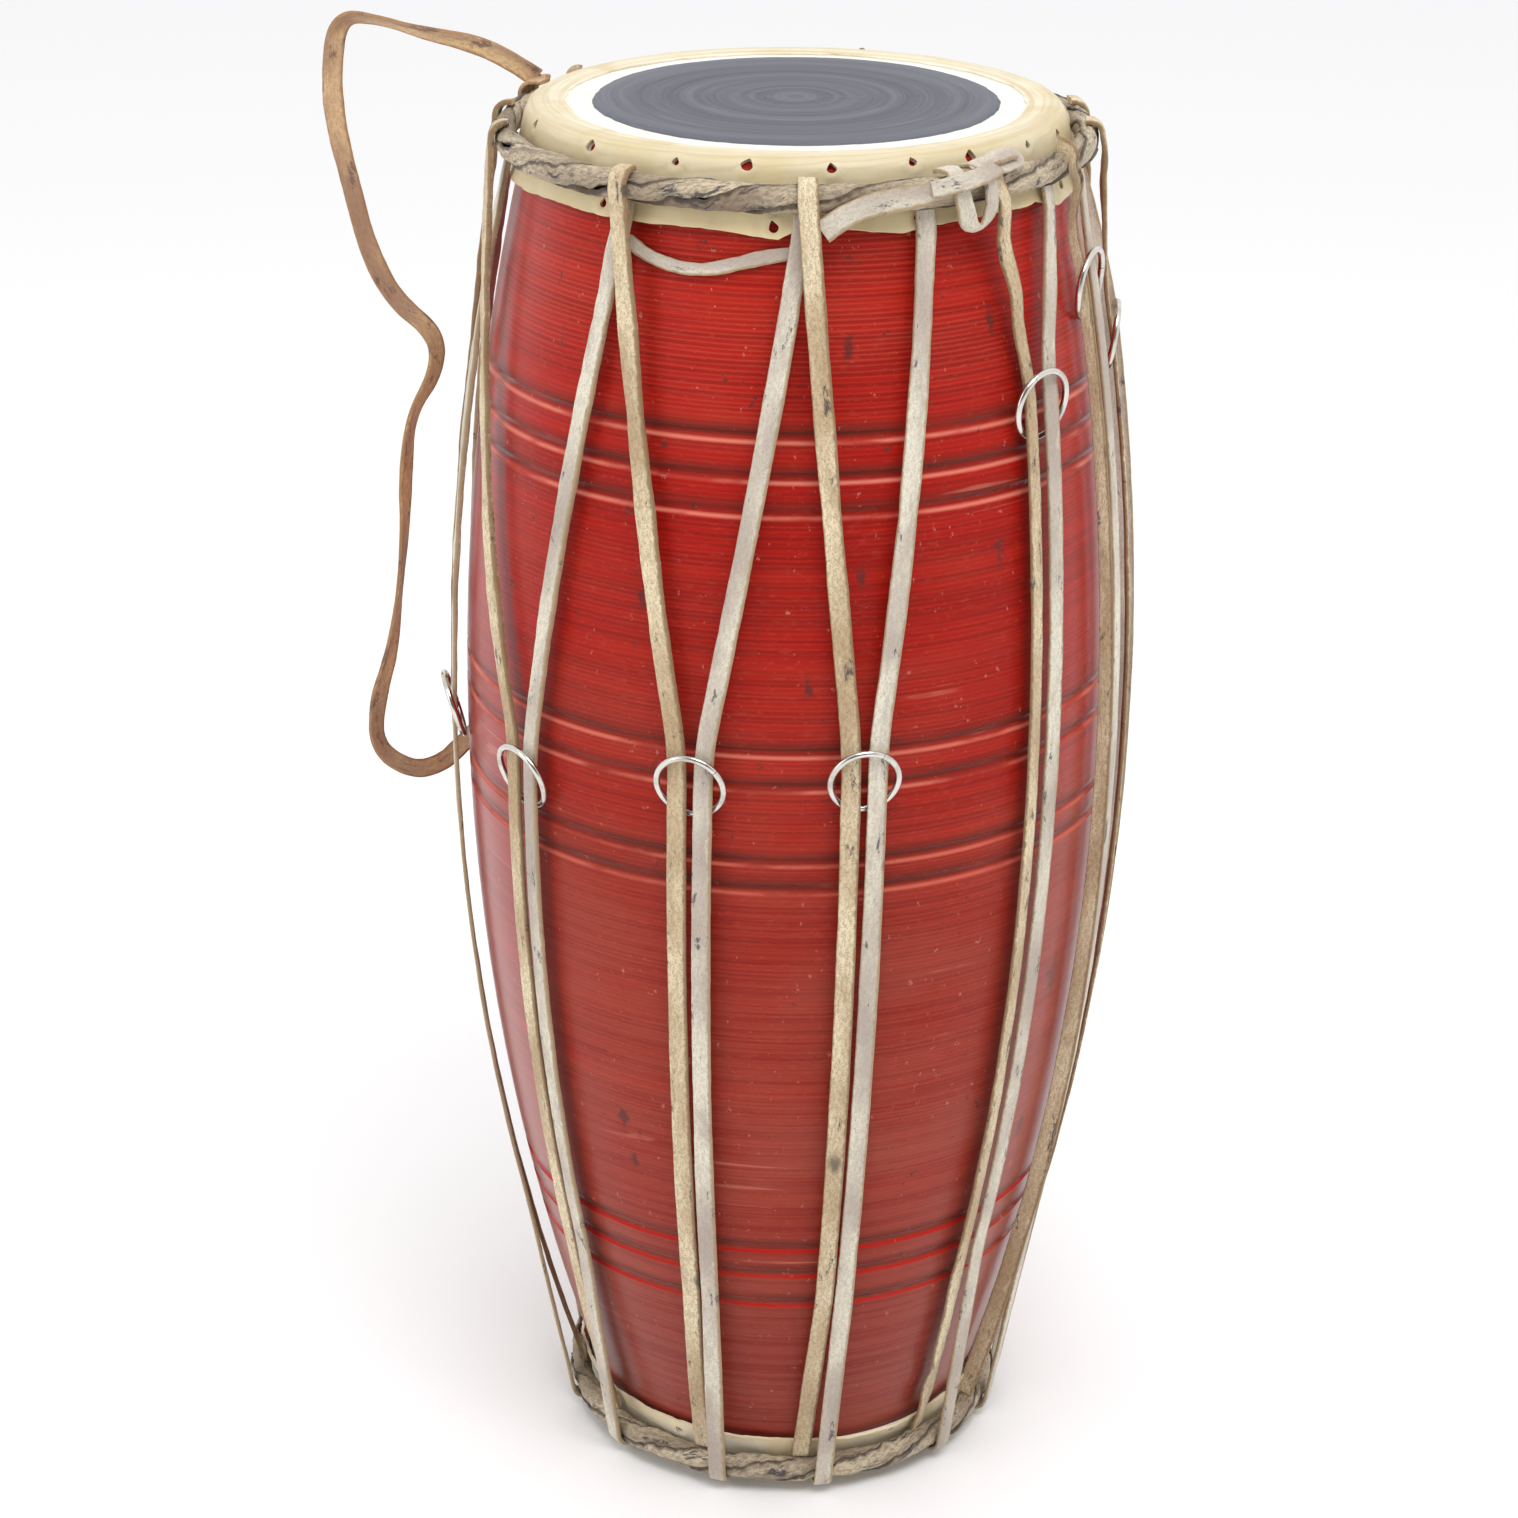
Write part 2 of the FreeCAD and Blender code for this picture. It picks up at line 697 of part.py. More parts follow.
def build():
    """All nodes by name."""
    nodes = {"barrel_shell": make_shell()}
    heads = (
        ("top", top_rim, 1, top_paste_inset, top_collar_hole_inset, top_skirt_length, top_braid_drop),
        ("bottom", bottom_rim, -1, bottom_paste_inset, bottom_collar_hole_inset,
         bottom_skirt_length, bottom_braid_drop),
    )
    for name, rim, side, paste_inset, hole_inset, skirt, drop in heads:
        rim_radius = arc_radius_at(rim, barrel_curve)
        skin = skin_outline(rim, side, layer_gap, paste_base, 0.0, skin_turn_down)
        hole_radius = rim_radius - hole_inset
        collar = skin_outline(rim, side, collar_inside, collar_outside, hole_radius, skirt)
        nodes[name + "_head_skin"] = turned(skin)
        nodes[name + "_head_collar"] = turned(collar)
        nodes[name + "_tuning_paste"] = make_paste(rim, side, rim_radius - paste_inset)
        nodes[name + "_hoop_braid"] = make_braid(rim, side, drop)
    for index in range(len(pairs)):
        label = "%02d" % (index + 1)
        nodes["lacing_left_run_" + label] = make_left_run(index)
        nodes["lacing_right_run_" + label] = make_right_run(index)
        nodes["tuning_ring_" + label] = make_ring(index)
    nodes["lacing_end_band"] = make_end_band()
    nodes["lacing_end_knot"] = make_end_knot()
    nodes["lacing_tail"] = make_tail()
    nodes["carrying_strap"] = make_strap()
    nodes["strap_top_knot"] = make_strap_top_knot()
    nodes["strap_side_knot"] = make_strap_side_knot()
    return nodes


def ring_joint(index):
    """Pivot, axis and travel in degrees of a ring that slides down its pair of runs."""
    pair = pairs[index]
    pivot, out, along, across, lean = pair_frame(pair)
    travel = swing_at(pair[1], lean) - swing_at(ring_low_height, lean)
    return pivot, across, math.degrees(travel)


for node, shape in build().items():
    print(node, "valid" if shape.isValid() else "INVALID", round(shape.Volume, 1))
    shape.exportStep("parts/" + node + ".step")
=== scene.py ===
# %% [markdown]
# # A barrel hand drum with laced heads
#
# The drum is a turned wooden barrel in red lacquer. A skin is stretched over each end, and two
# twisted hide hoops are pulled towards each other by one long thong that runs up and down the
# barrel. A steel ring slides on each pair of runs and tunes the heads.
# The measured model is loaded first and stays as it is. Every piece made here goes where that
# model says, so nothing is fitted by eye.

# %% Load the measured model
import json
import math
import bmesh
import bpy
import numpy as np
from mathutils import Matrix, Vector

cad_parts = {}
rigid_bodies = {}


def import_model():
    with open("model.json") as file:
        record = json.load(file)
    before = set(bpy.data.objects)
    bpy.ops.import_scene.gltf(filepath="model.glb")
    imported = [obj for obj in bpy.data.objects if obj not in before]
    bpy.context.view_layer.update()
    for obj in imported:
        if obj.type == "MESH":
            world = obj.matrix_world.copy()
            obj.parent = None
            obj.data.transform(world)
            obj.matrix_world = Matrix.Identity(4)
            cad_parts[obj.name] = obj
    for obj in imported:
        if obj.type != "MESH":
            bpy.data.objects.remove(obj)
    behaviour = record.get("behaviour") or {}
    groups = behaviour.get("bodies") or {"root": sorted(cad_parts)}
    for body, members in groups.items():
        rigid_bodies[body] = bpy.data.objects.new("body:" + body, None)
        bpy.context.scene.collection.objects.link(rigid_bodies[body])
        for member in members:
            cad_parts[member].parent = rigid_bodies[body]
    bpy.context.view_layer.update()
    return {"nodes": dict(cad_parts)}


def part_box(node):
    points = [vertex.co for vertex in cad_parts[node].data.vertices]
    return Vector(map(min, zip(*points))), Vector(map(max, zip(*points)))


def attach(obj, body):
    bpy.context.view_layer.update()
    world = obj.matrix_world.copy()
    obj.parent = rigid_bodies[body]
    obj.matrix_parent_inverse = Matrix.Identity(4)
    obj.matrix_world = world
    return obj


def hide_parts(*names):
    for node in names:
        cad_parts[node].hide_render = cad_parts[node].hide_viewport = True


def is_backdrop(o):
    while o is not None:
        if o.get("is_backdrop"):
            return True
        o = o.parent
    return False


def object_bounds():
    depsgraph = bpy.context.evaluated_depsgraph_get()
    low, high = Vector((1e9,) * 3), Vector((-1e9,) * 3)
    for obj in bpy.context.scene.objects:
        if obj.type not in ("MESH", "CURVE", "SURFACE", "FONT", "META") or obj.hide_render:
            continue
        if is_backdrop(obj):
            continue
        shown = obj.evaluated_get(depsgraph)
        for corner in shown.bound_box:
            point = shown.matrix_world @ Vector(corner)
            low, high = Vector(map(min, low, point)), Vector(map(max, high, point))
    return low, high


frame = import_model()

MM = 0.001

# %% [markdown]
# ## The camera
#
# The view is that of somebody standing in front of the drum and looking down on it a little, with
# a long lens. A long lens keeps the two hoops nearly the same shape. The camera could be placed
# by hand, but a pitch, a yaw and a roll are easier to read and to change.

# %% Camera
camera_data = bpy.data.cameras.new("studio_camera")
camera_data.sensor_width = 36.0
camera_data.lens = 80.27
camera = bpy.data.objects.new("studio_camera", camera_data)
bpy.context.scene.collection.objects.link(camera)
bpy.context.scene.camera = camera
pitch, yaw, roll = [math.radians(a) for a in (22.948, -0.54, 0.451)]
looking = Vector((math.sin(yaw) * math.cos(pitch), math.cos(yaw) * math.cos(pitch), -math.sin(pitch)))
level = Vector((math.cos(yaw), -math.sin(yaw), 0))
raised = level.cross(looking)
right = level * math.cos(roll) + raised * math.sin(roll)
above = raised * math.cos(roll) - level * math.sin(roll)
turn = Matrix((right, above, -looking)).transposed().to_4x4()
camera_place = (0, -1.079, 0.7066)
camera.matrix_world = Matrix.Translation(camera_place) @ turn
print("camera looks down by", round(math.degrees(pitch), 1), "degrees")

# %% [markdown]
# ## Small helpers
#
# Blender's operators act on whatever is selected, and a freshly loaded model is selected all over.
# So each step starts by selecting one piece only, and in edit mode the faces, edges or points are
# picked by a test on their place or direction.

# %% Selecting and editing
def only(piece):
    """Selects this piece and nothing else."""
    bpy.ops.object.select_all(action="DESELECT")
    piece.select_set(True)
    bpy.context.view_layer.objects.active = piece


def open_edit(piece, kind="VERT"):
    only(piece)
    bpy.ops.object.mode_set(mode="EDIT")
    bpy.ops.mesh.select_mode(type=kind)
    bpy.ops.mesh.select_all(action="DESELECT")


def close_edit():
    bpy.ops.object.mode_set(mode="OBJECT")


def pick(piece, kind, test):
    """Adds to the selection what passes the test, in edit mode."""
    mesh = bmesh.from_edit_mesh(piece.data)
    found = 0
    for item in {"VERT": mesh.verts, "EDGE": mesh.edges, "FACE": mesh.faces}[kind]:
        if test(item):
            item.select_set(True)
            found += 1
    bmesh.update_edit_mesh(piece.data)
    return found


def apply_modifier(piece, kind, **settings):
    only(piece)
    modifier = piece.modifiers.new(kind.lower(), kind)
    for name, value in settings.items():
        setattr(modifier, name, value)
    bpy.ops.object.modifier_apply(modifier=modifier.name)


def smooth(piece, degrees=40):
    only(piece)
    bpy.ops.object.shade_smooth_by_angle(angle=math.radians(degrees))


# %% Reading and moving points
def points_of(piece):
    places = np.zeros(len(piece.data.vertices) * 3)
    piece.data.vertices.foreach_get("co", places)
    return places.reshape(-1, 3)


def move_points(piece, places):
    piece.data.vertices.foreach_set("co", np.asarray(places, float).ravel())
    piece.data.update()


def copy_of(piece, name):
    twin = piece.copy()
    twin.data = piece.data.copy()
    twin.name = twin.data.name = name
    bpy.context.scene.collection.objects.link(twin)
    return twin


def join(pieces, name):
    bpy.ops.object.select_all(action="DESELECT")
    for piece in pieces:
        piece.select_set(True)
    bpy.context.view_layer.objects.active = pieces[0]
    bpy.ops.object.join()
    pieces[0].name = pieces[0].data.name = name
    return pieces[0]


def uneven(along, seed, longest, waves=6):
    """Smooth unevenness between about -1 and 1, the same on each run."""
    chance = np.random.default_rng(seed)
    total, size = np.zeros_like(along), 0.0
    for i in range(waves):
        length = longest / 1.7 ** i * chance.uniform(0.8, 1.2)
        total = total + np.sin(2 * math.pi * along / length + chance.uniform(0, 2 * math.pi)) / 1.35 ** i
        size += 0.7 / 1.35 ** i
    return total / size


def uneven_round(angle, seed, lowest=2, waves=7):
    """The same, for a piece that closes on itself."""
    chance = np.random.default_rng(seed)
    total, size = np.zeros_like(angle), 0.0
    for i in range(waves):
        count = round(lowest * 1.6 ** i + chance.uniform(0, 1))
        total = total + np.sin(count * angle + chance.uniform(0, 2 * math.pi)) / 1.3 ** i
        size += 0.7 / 1.3 ** i
    return total / size


def direction(degrees):
    """Outward and sideways at an angle round the drum, from its front towards the right."""
    a = math.radians(degrees)
    return np.array([math.sin(a), -math.cos(a), 0.0]), np.array([math.cos(a), math.sin(a), 0.0])


# %% [markdown]
# ## The carrying strap
#
# The strap is a stiff strip of tanned leather, about 7 mm wide and 1.5 mm thick. It is tied to the
# larger hoop, stands out in a loop, and is tied again to the lacing lower down. Its middle line is
# a NURBS curve through listed points, because such a curve has no corners. A curve with a flat
# bevel could be the strip, but the strip also turns about its own line, now broad and now edge-on.
# So the curve is only read, and a straight blank is laid along it with a turn given at each place.

# %% Line of the strap
strap_points = (
    (-0.0860, 0.0415, 0.4765), (-0.0940, 0.0405, 0.4822), (-0.1060, 0.0400, 0.4880),
    (-0.1240, 0.0400, 0.4915), (-0.1370, 0.0400, 0.4955), (-0.1510, 0.0400, 0.4970),
    (-0.1540, 0.0395, 0.4780), (-0.1530, 0.0375, 0.4610), (-0.1480, 0.0340, 0.4410),
    (-0.1430, 0.0305, 0.4210), (-0.1345, 0.0280, 0.4040), (-0.1200, 0.0255, 0.3930),
    (-0.1205, 0.0240, 0.3800), (-0.1295, 0.0210, 0.3660), (-0.1315, 0.0180, 0.3460),
    (-0.1320, 0.0150, 0.3270), (-0.1340, 0.0115, 0.3070), (-0.1370, 0.0080, 0.2850),
    (-0.1425, 0.0050, 0.2680), (-0.1435, 0.0040, 0.2505), (-0.1310, 0.0050, 0.2415),
    (-0.1215, 0.0135, 0.2410), (-0.1160, 0.0250, 0.2430), (-0.1110, 0.0345, 0.2455),
)


def line_through(points, fine=14):
    """Points read from the NURBS curve that has these control points."""
    curve = bpy.data.curves.new("line", "CURVE")
    curve.dimensions = "3D"
    spline = curve.splines.new("NURBS")
    spline.points.add(len(points) - 1)
    for target, place in zip(spline.points, points):
        target.co = (*place, 1)
    spline.order_u = 3
    spline.use_endpoint_u = True
    spline.resolution_u = fine
    guide = bpy.data.objects.new("line", curve)
    bpy.context.scene.collection.objects.link(guide)
    bpy.context.view_layer.update()
    mesh = bpy.data.meshes.new_from_object(guide)
    read = np.array([tuple(v.co) for v in mesh.vertices])
    bpy.data.objects.remove(guide)
    bpy.data.curves.remove(curve)
    bpy.data.meshes.remove(mesh)
    return read


strap_line = line_through(strap_points)
strap_length = float(np.linalg.norm(np.diff(strap_line, axis=0), axis=1).sum())
print("strap line", len(strap_line), "points,", round(strap_length / MM, 1), "mm long")

# %% [markdown]
# A blank is a straight bar of the right width and thickness. It starts as a cube, gets cuts across
# its broad faces so that it can crown or curl, rolled long edges, and many cuts along its length.
# Every thong, ribbon and strap of the drum is a copy of such a blank.

# %% Blank for strips
def lies_along(edge, axis):
    """Whether an edge lies along x (0) or y (1)."""
    return abs((edge.verts[0].co - edge.verts[1].co).normalized()[axis]) > 0.9


def strip_blank(name, width, thickness, rolled, cuts, across_cuts=4):
    """A straight strip from x = 0 to x = 1. Each number in cuts divides every length again."""
    bpy.ops.mesh.primitive_cube_add(size=1.0)
    blank = bpy.context.object
    blank.name = name
    open_edit(blank, "EDGE")
    bpy.ops.mesh.select_all(action="SELECT")
    bpy.ops.transform.translate(value=(0.5, 0, 0))
    bpy.ops.transform.resize(value=(1, width, thickness), center_override=(0, 0, 0))
    bpy.ops.mesh.select_all(action="DESELECT")
    pick(blank, "EDGE", lambda e: lies_along(e, 1))
    bpy.ops.mesh.subdivide(number_cuts=across_cuts)
    bpy.ops.mesh.select_all(action="DESELECT")
    corners = lambda e: lies_along(e, 0) and all(abs(abs(v.co.y) - width / 2) < 1e-7 for v in e.verts)
    pick(blank, "EDGE", corners)
    bpy.ops.mesh.bevel(offset=rolled, segments=3, profile=0.5, affect="EDGES")
    for lengths in cuts:
        bpy.ops.mesh.select_all(action="DESELECT")
        pick(blank, "EDGE", lambda e: lies_along(e, 0))
        bpy.ops.mesh.subdivide(number_cuts=lengths - 1)
    close_edit()
    return blank


def finished(piece, node, degrees=50):
    """Smooths a piece, and hides the measured node that it stands for."""
    smooth(piece, degrees)
    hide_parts(node)
    return piece


def even_line(points, count, crowd=0.0):
    """Points at even steps along a line, or crowded towards its two ends."""
    points = np.asarray(points, float)
    gone = np.concatenate([[0], np.cumsum(np.linalg.norm(np.diff(points, axis=0), axis=1))])
    t = np.linspace(0, 1, count)
    t = t - crowd * np.sin(2 * math.pi * t) / (2 * math.pi)
    return np.stack([np.interp(t * gone[-1], gone, points[:, k]) for k in range(3)], 1), t * gone[-1]


def unit(vectors):
    return vectors / np.linalg.norm(vectors, axis=-1, keepdims=True)


def lay(blank, name, centre, across, facing, gone, shift=0.0, shape=None):
    """A copy of the blank with its length laid along a line. It gets a map of length and width."""
    piece = copy_of(blank, name)
    flat = points_of(piece)
    t = np.linspace(0, 1, len(centre))
    read = lambda values: np.stack([np.interp(flat[:, 0], t, values[:, k]) for k in range(3)], 1)
    along = np.interp(flat[:, 0], t, gone)
    y, z = flat[:, 1].copy(), flat[:, 2].copy()
    if shape is not None:
        y, z = shape(along, y, z)
    side, out = unit(read(across)), unit(read(facing))
    move_points(piece, read(centre) + side * y[:, None] + out * z[:, None])
    layer = piece.data.uv_layers.new(name="along_strip")
    corner = np.zeros(len(piece.data.loops), int)
    piece.data.loops.foreach_get("vertex_index", corner)
    mapped = np.stack([along[corner] + shift, flat[corner, 1] + flat[corner, 2] * 0.6], 1)
    layer.data.foreach_set("uv", mapped.ravel())
    return piece


# %% Strap laid along its line
strap_turns = (10, 8, 20, 50, 66, 40, 4, 20, 36, 36, 40, 44, 46, 74, 60, 76, 88, 62, 40, 62, 42, 48, 50, 50)
strap_width, strap_thickness, strap_rolled = 7.2 * MM, 1.5 * MM, 0.45 * MM
strap_blank = strip_blank("strap_blank", strap_width, strap_thickness, strap_rolled, (16, 20))
centre, gone = even_line(strap_line, 420)
forward = unit(np.gradient(centre, axis=0))
depth = np.array([0.0, 1.0, 0.0])
broad = unit(np.cross(forward, depth))
away = unit(depth - forward * (forward @ depth)[:, None])
# The turn belongs to a control point, so it is read where the curve passes nearest to that point.
nearest = [int(np.argmin(np.linalg.norm(centre - np.array(p), axis=1))) for p in strap_points]
tilt = np.radians(np.interp(np.arange(len(centre)), nearest, strap_turns))
blur = 9
tilt = np.convolve(np.pad(tilt, blur, mode="edge"), np.ones(2 * blur + 1) / (2 * blur + 1), mode="valid")
across = broad * np.cos(tilt)[:, None] + away * np.sin(tilt)[:, None]
facing = np.cross(forward, across)


def strap_shape(along, y, z):
    """Cut by hand: the width wanders, and the strip is a little cupped."""
    half = 3.6 * MM
    wide = 0.93 + 0.05 * uneven(along, 3, 0.09) + 0.015 * uneven(along, 4, 0.012)
    return y * wide, z * (0.95 + 0.1 * uneven(along, 5, 0.05)) + 0.25 * MM * ((y / half) ** 2 - 0.4)


strap = lay(strap_blank, "leather_carrying_strap", centre, across, facing, gone, 0.0, strap_shape)
smooth(strap)
print("strap", len(strap.data.polygons), "faces")

# %% [markdown]
# ## Reading the thongs of the measured model
#
# The measured model has each run of the lacing as a plain flat band at the right place. A hand-cut
# thong is rounder, wavier and rougher than that, so each band is replaced. The new thong has to
# stay inside the band where a ring slides along it. So the two long outer edges of each band are
# read, and they give the middle, the broad direction and the outward direction at every place. A
# Curve modifier could bend the blank too, but it would let the thong twist into the ring.

# %% Outer edges of a measured band
sharp_angle, shortest_edge = 0.8, 12 * MM


def band_edges(node):
    """The two long edges on the outer face of a band, each as a list of points."""
    mesh = bmesh.new()
    mesh.from_mesh(frame["nodes"][node].data)
    bmesh.ops.remove_doubles(mesh, verts=mesh.verts, dist=1e-6)
    sharp = [e for e in mesh.edges if len(e.link_faces) == 2 and e.calc_face_angle() > sharp_angle]
    met = {}
    for edge in sharp:
        for vert in edge.verts:
            met.setdefault(vert, []).append(edge)
    corners = {v for v, edges in met.items() if len(edges) == 3}
    chains = []
    for start in corners:
        for edge in met[start]:
            points, here, used = [start.co.copy()], start, edge
            while True:
                here = used.other_vert(here)
                points.append(here.co.copy())
                if here in corners or len(met[here]) != 2:
                    break
                used = met[here][0] if met[here][1] is used else met[here][1]
            size = sum((b - a).length for a, b in zip(points, points[1:]))
            if size > shortest_edge and not any((c[0] - points[-1]).length < 1e-7 for c in chains):
                chains.append(points)
    mesh.free()
    reach = lambda chain: math.hypot(*chain[len(chain) // 2][:2])
    return [np.array(c) for c in sorted(chains, key=reach)[-2:]]


def softened(line, step=0.4 * MM, spread=1.0 * MM):
    """The line with its small kinks rounded off, and its two ends where they were."""
    count = max(int(np.linalg.norm(np.diff(line, axis=0), axis=1).sum() / step), 20)
    fine, _ = even_line(line, count)
    reach = int(3 * spread / step)
    kernel = np.exp(-0.5 * (np.arange(-reach, reach + 1) * step / spread) ** 2)
    kernel /= kernel.sum()
    before = 2 * fine[0] - fine[reach:0:-1]
    after = 2 * fine[-1] - fine[-2:-reach - 2:-1]
    padded = np.concatenate([before, fine, after])
    return np.stack([np.convolve(padded[:, k], kernel, mode="valid") for k in range(3)], 1)


def band_frames(node, count, thickness, crowd=0.75):
    """Middle line, broad direction, outward direction and length so far of a measured band."""
    one, two = band_edges(node)
    if one[0][2] > one[-1][2]:
        one = one[::-1]
    if np.linalg.norm(one[0] - two[0]) > np.linalg.norm(one[0] - two[-1]):
        two = two[::-1]
    one, _ = even_line(softened(one), count, crowd)
    two, _ = even_line(softened(two), count, crowd)
    middle = (one + two) / 2
    forward = unit(np.gradient(middle, axis=0))
    across = unit(two - one)
    facing = unit(np.cross(across, forward))
    half = count // 2
    if facing[half] @ np.array([*middle[half][:2], 0]) < 0:
        across, facing = -across, -facing
    gone = np.concatenate([[0], np.cumsum(np.linalg.norm(np.diff(middle, axis=0), axis=1))])
    return middle - facing * thickness / 2, across, facing, gone


thong_thickness = 1.5 * MM
test = band_frames("lacing_left_run_03", 200, thong_thickness)
print("a run of the lacing is", round(test[3][-1] / MM, 1), "mm long")

# %% [markdown]
# ## The lacing
#
# The thong is one long strip of goat hide. Each run is laid on as a copy of the same blank, and
# then gets its own width, its own rolled edges and its own small nicks, because a strip cut by hand
# is never even. Above its ring a run is free to swell, and below it the run stays flat.

# %% Thong blank and its uneven cut
thong_half, thong_rolled = 3.3 * MM, 0.55 * MM
thong_blank = strip_blank("thong_blank", 2 * thong_half, thong_thickness, thong_rolled, (16, 16))


def thong_shape(seed, free_from):
    """How one run differs from the blank. The run may swell beyond this length from its low end."""
    def shape(along, y, z):
        free = np.clip((along - free_from) / 0.03, 0, 1)
        edge = y / thong_half
        width = 0.955 + 0.035 * uneven(along, seed, 0.12) + 0.012 * uneven(along, seed + 1, 0.011)
        nick = uneven(along, seed + 2, 0.006, 4)
        width = width - 0.035 * np.clip(nick - 0.55, 0, 1) * (edge * math.copysign(1, seed % 2 - 0.5) > 0.3)
        width = width + free * 0.04 * uneven(along, seed + 3, 0.07)
        crown = 0.16 * MM * (1 - edge ** 2) - 0.08 * MM
        wave = 0.10 * MM * uneven(along + 0.006 * edge, seed + 4, 0.05)
        curl = free * 0.45 * MM * edge * uneven(along, seed + 5, 0.10)
        thick = 0.93 + 0.06 * uneven(along, seed + 6, 0.04) + 0.30 * free
        groove = -0.16 * MM * np.exp(-((edge - 0.25 * uneven(along, seed + 7, 0.2)) / 0.16) ** 2) * (z > 0)
        return y * width, z * thick + crown * (z > 0) + wave + curl + groove * 0.6
    return shape


runs = {}
for number in range(1, 13):
    ring_low, ring_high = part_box("tuning_ring_%02d" % number)
    for hand, slot in (("left", "speckled_thong"), ("right", "pale_thong")):
        node = "lacing_%s_run_%02d" % (hand, number)
        centre, across, facing, gone = band_frames(node, 300, thong_thickness)
        above_ring = gone[int(np.argmax(centre[:, 2] > ring_high.z + 6 * MM))]
        seed = number * 20 + (hand == "right") * 400
        run = lay(thong_blank, "thong_%s_%02d" % (hand, number), centre, across, facing, gone,
                  number * 0.71 + (hand == "right") * 0.37, thong_shape(seed, above_ring))
        runs[hand, number] = finished(run, node)
print(len(runs), "runs,", len(run.data.polygons), "faces each")

# %% [markdown]
# ## The tuning rings
#
# Each ring is bent from steel wire, and its two ends meet in a butt joint. A torus gives the wire.
# Two cuts close together mark off a thin slice, and that slice is made a little thinner, which is
# the seam. The measured ring gives the place and the tilt: its middle is the middle of its box, and
# its plane is the one that its points spread least across.

# %% Ring blank with a butt joint
ring_radius, ring_wire = 10.9 * MM, 2.2 * MM
seam_half, seam_at = 0.16 * MM, 0.01 * MM
bpy.ops.mesh.primitive_torus_add(major_segments=96, minor_segments=20, major_radius=ring_radius,
                                 minor_radius=ring_wire / 2 - 0.02 * MM)
ring_blank = bpy.context.object
ring_blank.name = "ring_blank"
open_edit(ring_blank, "FACE")
near_joint = lambda f: f.calc_center_median().x > 0.8 * ring_radius and abs(f.calc_center_median().y) < 2 * MM
for place in (-seam_half, 0.0, seam_half):
    bpy.ops.mesh.select_all(action="DESELECT")
    pick(ring_blank, "FACE", near_joint)
    bpy.ops.mesh.bisect(plane_co=(0, place + seam_at, 0), plane_no=(0, 1, 0))
close_edit()
open_edit(ring_blank, "VERT")
seam = pick(ring_blank, "VERT", lambda v: v.co.x > 0 and abs(v.co.y - seam_at) < 2 * seam_at)
bpy.ops.transform.resize(value=(0.72, 1, 0.72), center_override=(ring_radius, 0, 0))
close_edit()
smooth(ring_blank, 60)
print("points in the seam", seam)

# %% Rings in their places
joint_at = (200, 145, 38, 62, 120, 15, 300, 75, 210, 330, 100, 170)
for number in range(1, 13):
    node = "tuning_ring_%02d" % number
    measured = points_of(frame["nodes"][node])
    low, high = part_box(node)
    middle = np.array((low + high) / 2)
    _, _, axes = np.linalg.svd(measured - middle, full_matrices=False)
    out = axes[2] if axes[2] @ np.array([*middle[:2], 0]) > 0 else -axes[2]
    level_axis = unit(np.cross([0, 0, 1.0], out))
    up_axis = np.cross(out, level_axis)
    place = Matrix((level_axis, up_axis, out)).transposed().to_4x4()
    ring = copy_of(ring_blank, "steel_ring_%02d" % number)
    spun = Matrix.Rotation(math.radians(joint_at[number - 1]), 4, "Z")
    ring.data.transform(Matrix.Translation(middle) @ place @ spun)
    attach(ring, "ring_%02d" % number)
    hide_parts(node)
print("ring 3 is", round(2 * (ring_radius + ring_wire / 2) / MM, 1), "mm across")

# %% [markdown]
# ## The side of the barrel as an outline
#
# The barrel's side is one long arc, and its two rims are rounded over. The skins follow that
# outline at a small distance. Writing the arc down once makes every skin fit, and the measured
# model's own box shows whether the arc is right.

# %% Outline of the barrel
belly_radius, belly_height, side_curve = 110.0 * MM, 272.0 * MM, 831.02 * MM
rim_round = 3.5 * MM
shell_low, shell_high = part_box("barrel_shell")
bottom_rim, top_rim = shell_low.z, shell_high.z


def side_radius(height, off=0.0):
    """How far the barrel's side, or a line off it, is from the drum's axis."""
    return belly_radius - side_curve + np.sqrt((side_curve + off) ** 2 - (height - belly_height) ** 2)


def skin_outline(rim, side, off, hole, length, step=1.0 * MM):
    """Points of a skin's outer face, from its hole over the rim and down the side."""
    round_height = rim - side * rim_round
    round_radius = side_radius(round_height, -rim_round)
    slope = math.asin((round_height - belly_height) / (side_curve - rim_round))
    points = [(r, rim + side * off) for r in np.arange(hole, round_radius - step / 2, step)]
    turns = np.linspace(side * math.pi / 2, slope, 9)
    for a in turns:
        points.append((round_radius + (rim_round + off) * math.cos(a),
                       round_height + (rim_round + off) * math.sin(a)))
    last = points[-1][1]
    end = rim - side * length
    for height in np.linspace(last, end, max(int(abs(end - last) / step), 2) + 1)[1:]:
        points.append((side_radius(height, off), height))
    return points


print("belly off the measured one, mm", round((shell_high.y - side_radius(belly_height)) / MM, 2))

# %% [markdown]
# A round piece is turned from its outline, as on a lathe. One point is extruded along the outline,
# and Spin carries the line round the axis. Doubled points are merged and the normals are set
# before the sheet gets its thickness, because Solidify goes by them.

